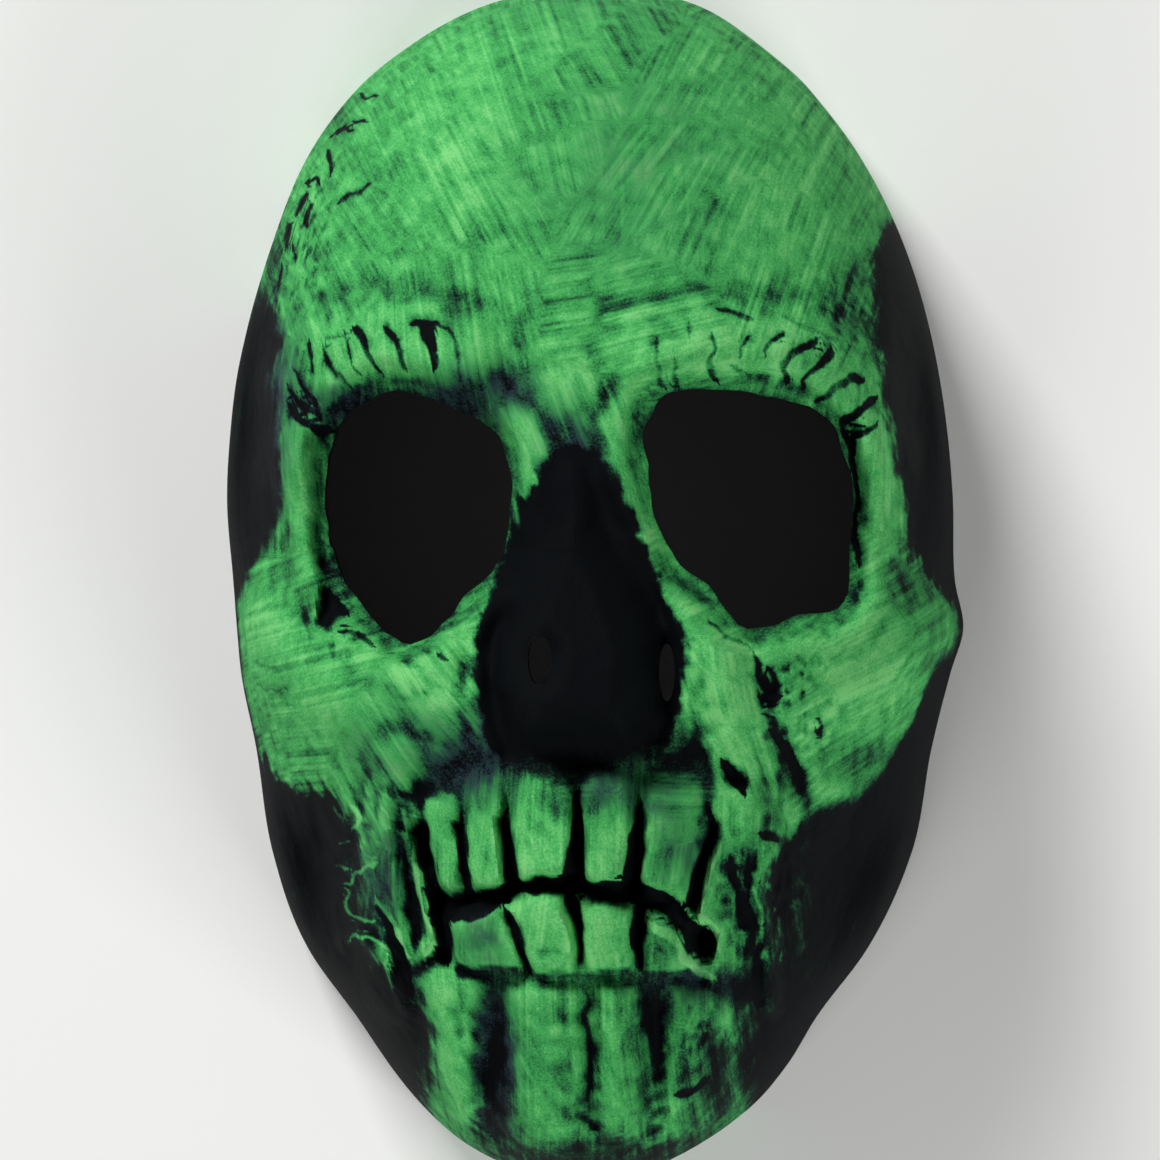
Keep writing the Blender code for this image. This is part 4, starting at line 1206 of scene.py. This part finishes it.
woven_elastic, tree, shader = new_material("Woven black elastic")
parts = node(tree, "SeparateXYZ", {}, {0: attribute(tree, "weave", "Vector")})
rib = node(tree, "Math", TIMES, {0: parts.outputs["Y"], 1: RIBS / STRAP_WIDTH})
odd = node(tree, "Math", {"operation": "FLOOR"}, {0: rib})
row = node(tree, "Math", TIMES, {0: parts.outputs["X"], 1: TURN / THREAD_SPACING})
row = node(tree, "Math", TIMES_PLUS, {0: odd, 1: TURN / 2, 2: row})
thread = node(tree, "Math", {"operation": "SINE"}, {0: row})
edge = node(tree, "Math", TIMES, {0: rib, 1: TURN})
edge = node(tree, "Math", {"operation": "COSINE"}, {0: edge})
height = node(tree, "Math", TIMES_PLUS, {0: edge, 1: -0.8, 2: thread})
# Painted shade and highlight: the colour is darker in the weave's dips and lighter on its crowns.
raised = node(tree, "MapRange", SOFT, {"Value": height, "From Min": -1.2, "From Max": 1.4})
fill_colour(tree, shader, raised, linear("#08080A"), linear("#24252A"))
raise_grain(tree, shader, height, 0.6, 0.2 * MM)
shader.inputs["Roughness"].default_value = 0.85
shader.inputs["Sheen Weight"].default_value = 0.25
shader.inputs["Sheen Roughness"].default_value = 0.5

strap = object_from(bm, "woven_strap", (woven_elastic,))
thick = strap.modifiers.new("Thickness", "SOLIDIFY")
thick.thickness = STRAP_THICKNESS - RIB_HEIGHT
thick.offset = 1 if strap.data.polygons[0].normal.x > 0 else -1
strap.data.shade_smooth()
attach(strap, "root")
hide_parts("elastic_strap")

# %% [markdown]
# Each strap end is held by a patch of cotton twill, cut by hand and glued down over it. So its
# outline bulges a little and its face lies in soft puckers. The grid fills the solid's box.
# At a scale of 1 the bands of a wave texture lie 0.314 apart, so that sets the twill's lines.

# %% Glued patches
PUCKER = 0.00022
CORNER_ROUNDING = 0.22
PUCKER_SPACING = 6 * MM
TWILL_SPACING = 0.9 * MM
FUZZ_SIZE = 0.6 * MM
WAVE_UNIT = 0.314

twill_patch, tree, shader = new_material("Black cotton twill, glued")
place = node(tree, "TexCoord", {}, {}).outputs["Object"]
turned = node(tree, "Mapping", {}, {"Vector": place, "Rotation": (np.radians(45), 0, 0)})
drawn = {"Vector": turned, "Scale": WAVE_UNIT / TWILL_SPACING, "Distortion": 0.6}
lines = node(tree, "TexWave", {"bands_direction": "Y"}, drawn).outputs["Fac"]
# Painted shade and highlight: the colour is darker in the twill's grooves and the fuzz's dips, lighter on the
# raised lines.
height = node(tree, "Math", TIMES_PLUS, {0: grain(tree, place, FUZZ_SIZE, 3), 1: 0.5, 2: lines})
fill_colour(tree, shader, height, linear("#0A0A0B"), linear("#25252A"))
raise_grain(tree, shader, height, 0.5, 0.2 * MM)
shader.inputs["Roughness"].default_value = 0.9
shader.inputs["Sheen Weight"].default_value = 0.2

for side, tab in (("left", "strap_tab_left"), ("right", "strap_tab_right")):
    low, high = (np.array(corner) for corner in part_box(tab))
    middle, half = (low + high) / 2, (high - low) / 2
    bm = bmesh.new()
    bmesh.ops.create_grid(bm, x_segments=36, y_segments=34, size=1)
    for vert in bm.verts:
        u, v = vert.co.x, vert.co.y
        y = u * np.sqrt(1 - CORNER_ROUNDING * v * v)
        z = v * np.sqrt(1 - CORNER_ROUNDING * u * u)
        vert.co = (0, middle[1] + half[1] * y, middle[2] + half[2] * z)
    bm.normal_update()
    bmesh.ops.solidify(bm, geom=bm.faces[:], thickness=2 * half[0])
    shift = middle[0] - sum(vert.co.x for vert in bm.verts) / len(bm.verts)
    bmesh.ops.translate(bm, verts=bm.verts, vec=(shift, 0, 0))
    for vert in bm.verts:
        free = abs(vert.co.x) < abs(middle[0])
        sink = PUCKER * (0.5 + 0.5 * noise.noise(vert.co / PUCKER_SPACING)) if free else 0
        vert.co.x += sink * np.sign(middle[0])
    patch = object_from(bm, side + "_twill_patch", (twill_patch,))
    patch.data.shade_smooth()
    patch.data.set_sharp_from_angle(angle=np.radians(40))
    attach(patch, "root")
    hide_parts(tab)
    box = np.array([vert.co for vert in patch.data.vertices])
    print(side, "patch against its solid, mm:", np.round((box.min(axis=0) - low) * 1000, 2))

# %% [markdown]
# The stage: a plain pale floor under the mask.

# %% Floor
bm = bmesh.new()
bmesh.ops.create_grid(bm, x_segments=1, y_segments=1, size=3.0)
bmesh.ops.translate(bm, verts=bm.verts, vec=(0, 0, -0.0002))
floor_paint, tree, shader = new_material("Matt white floor paint")
shader.inputs["Base Color"].default_value = linear("#FAFAF8")
shader.inputs["Roughness"].default_value = 0.9
floor = object_from(bm, "floor", (floor_paint,))

# %% [markdown]
# The camera stands straight above the mask, as the photograph was taken straight at the face,
# turned by the two degrees that the head was. A long lens keeps the perspective of the picture.

# %% Camera
PICTURE_SIDE = 1160
CAMERA_DISTANCE = 1.1
PIXELS_PER_METRE = 4750
SENSOR = 36.0
HEAD_TURN = np.radians(2.0)
CENTRE = Vector((-0.00316, 0.0004, 0.0))

camera_data = bpy.data.cameras.new("camera")
camera_data.sensor_width = SENSOR
camera_data.lens = PIXELS_PER_METRE * CAMERA_DISTANCE / PICTURE_SIDE * SENSOR
camera = bpy.data.objects.new("camera", camera_data)
bpy.context.scene.collection.objects.link(camera)
camera.location = CENTRE + CAMERA_DISTANCE * Vector((np.sin(HEAD_TURN), 0, np.cos(HEAD_TURN)))
camera.rotation_euler = (0, HEAD_TURN, 0)
bpy.context.scene.camera = camera
print("lens, mm:", round(camera_data.lens, 1))

# %% [markdown]
# Soft studio light: a large key from the upper left, a weaker fill from the right and a low even
# sky. They stand well off the camera's axis, so the floor under the open sockets stays dark. The
# Standard view shows the paint's colours as they were mixed.

# %% Light
LIGHTS = (
    # name, place, size, watts
    ("key", (-0.60, 1.05, 0.95), 0.5, 19.5),
    ("fill", (0.80, -0.85, 0.80), 0.6, 8.0),
    ("low", (-0.55, -1.05, 0.75), 0.6, 5.0),
)
for name, spot, size, watts in LIGHTS:
    lamp = bpy.data.lights.new(name, "AREA")
    lamp.size = size
    lamp.energy = watts
    stand = bpy.data.objects.new(name, lamp)
    stand.location = spot
    stand.rotation_euler = (Vector((0, 0, 0.05)) - Vector(spot)).to_track_quat("-Z", "Y").to_euler()
    bpy.context.scene.collection.objects.link(stand)

world = bpy.data.worlds.new("soft sky")
world.use_nodes = True
world.node_tree.nodes["Background"].inputs["Color"].default_value = (1, 1, 1, 1)
world.node_tree.nodes["Background"].inputs["Strength"].default_value = 0.07
bpy.context.scene.world = world
bpy.context.scene.view_settings.view_transform = "Standard"
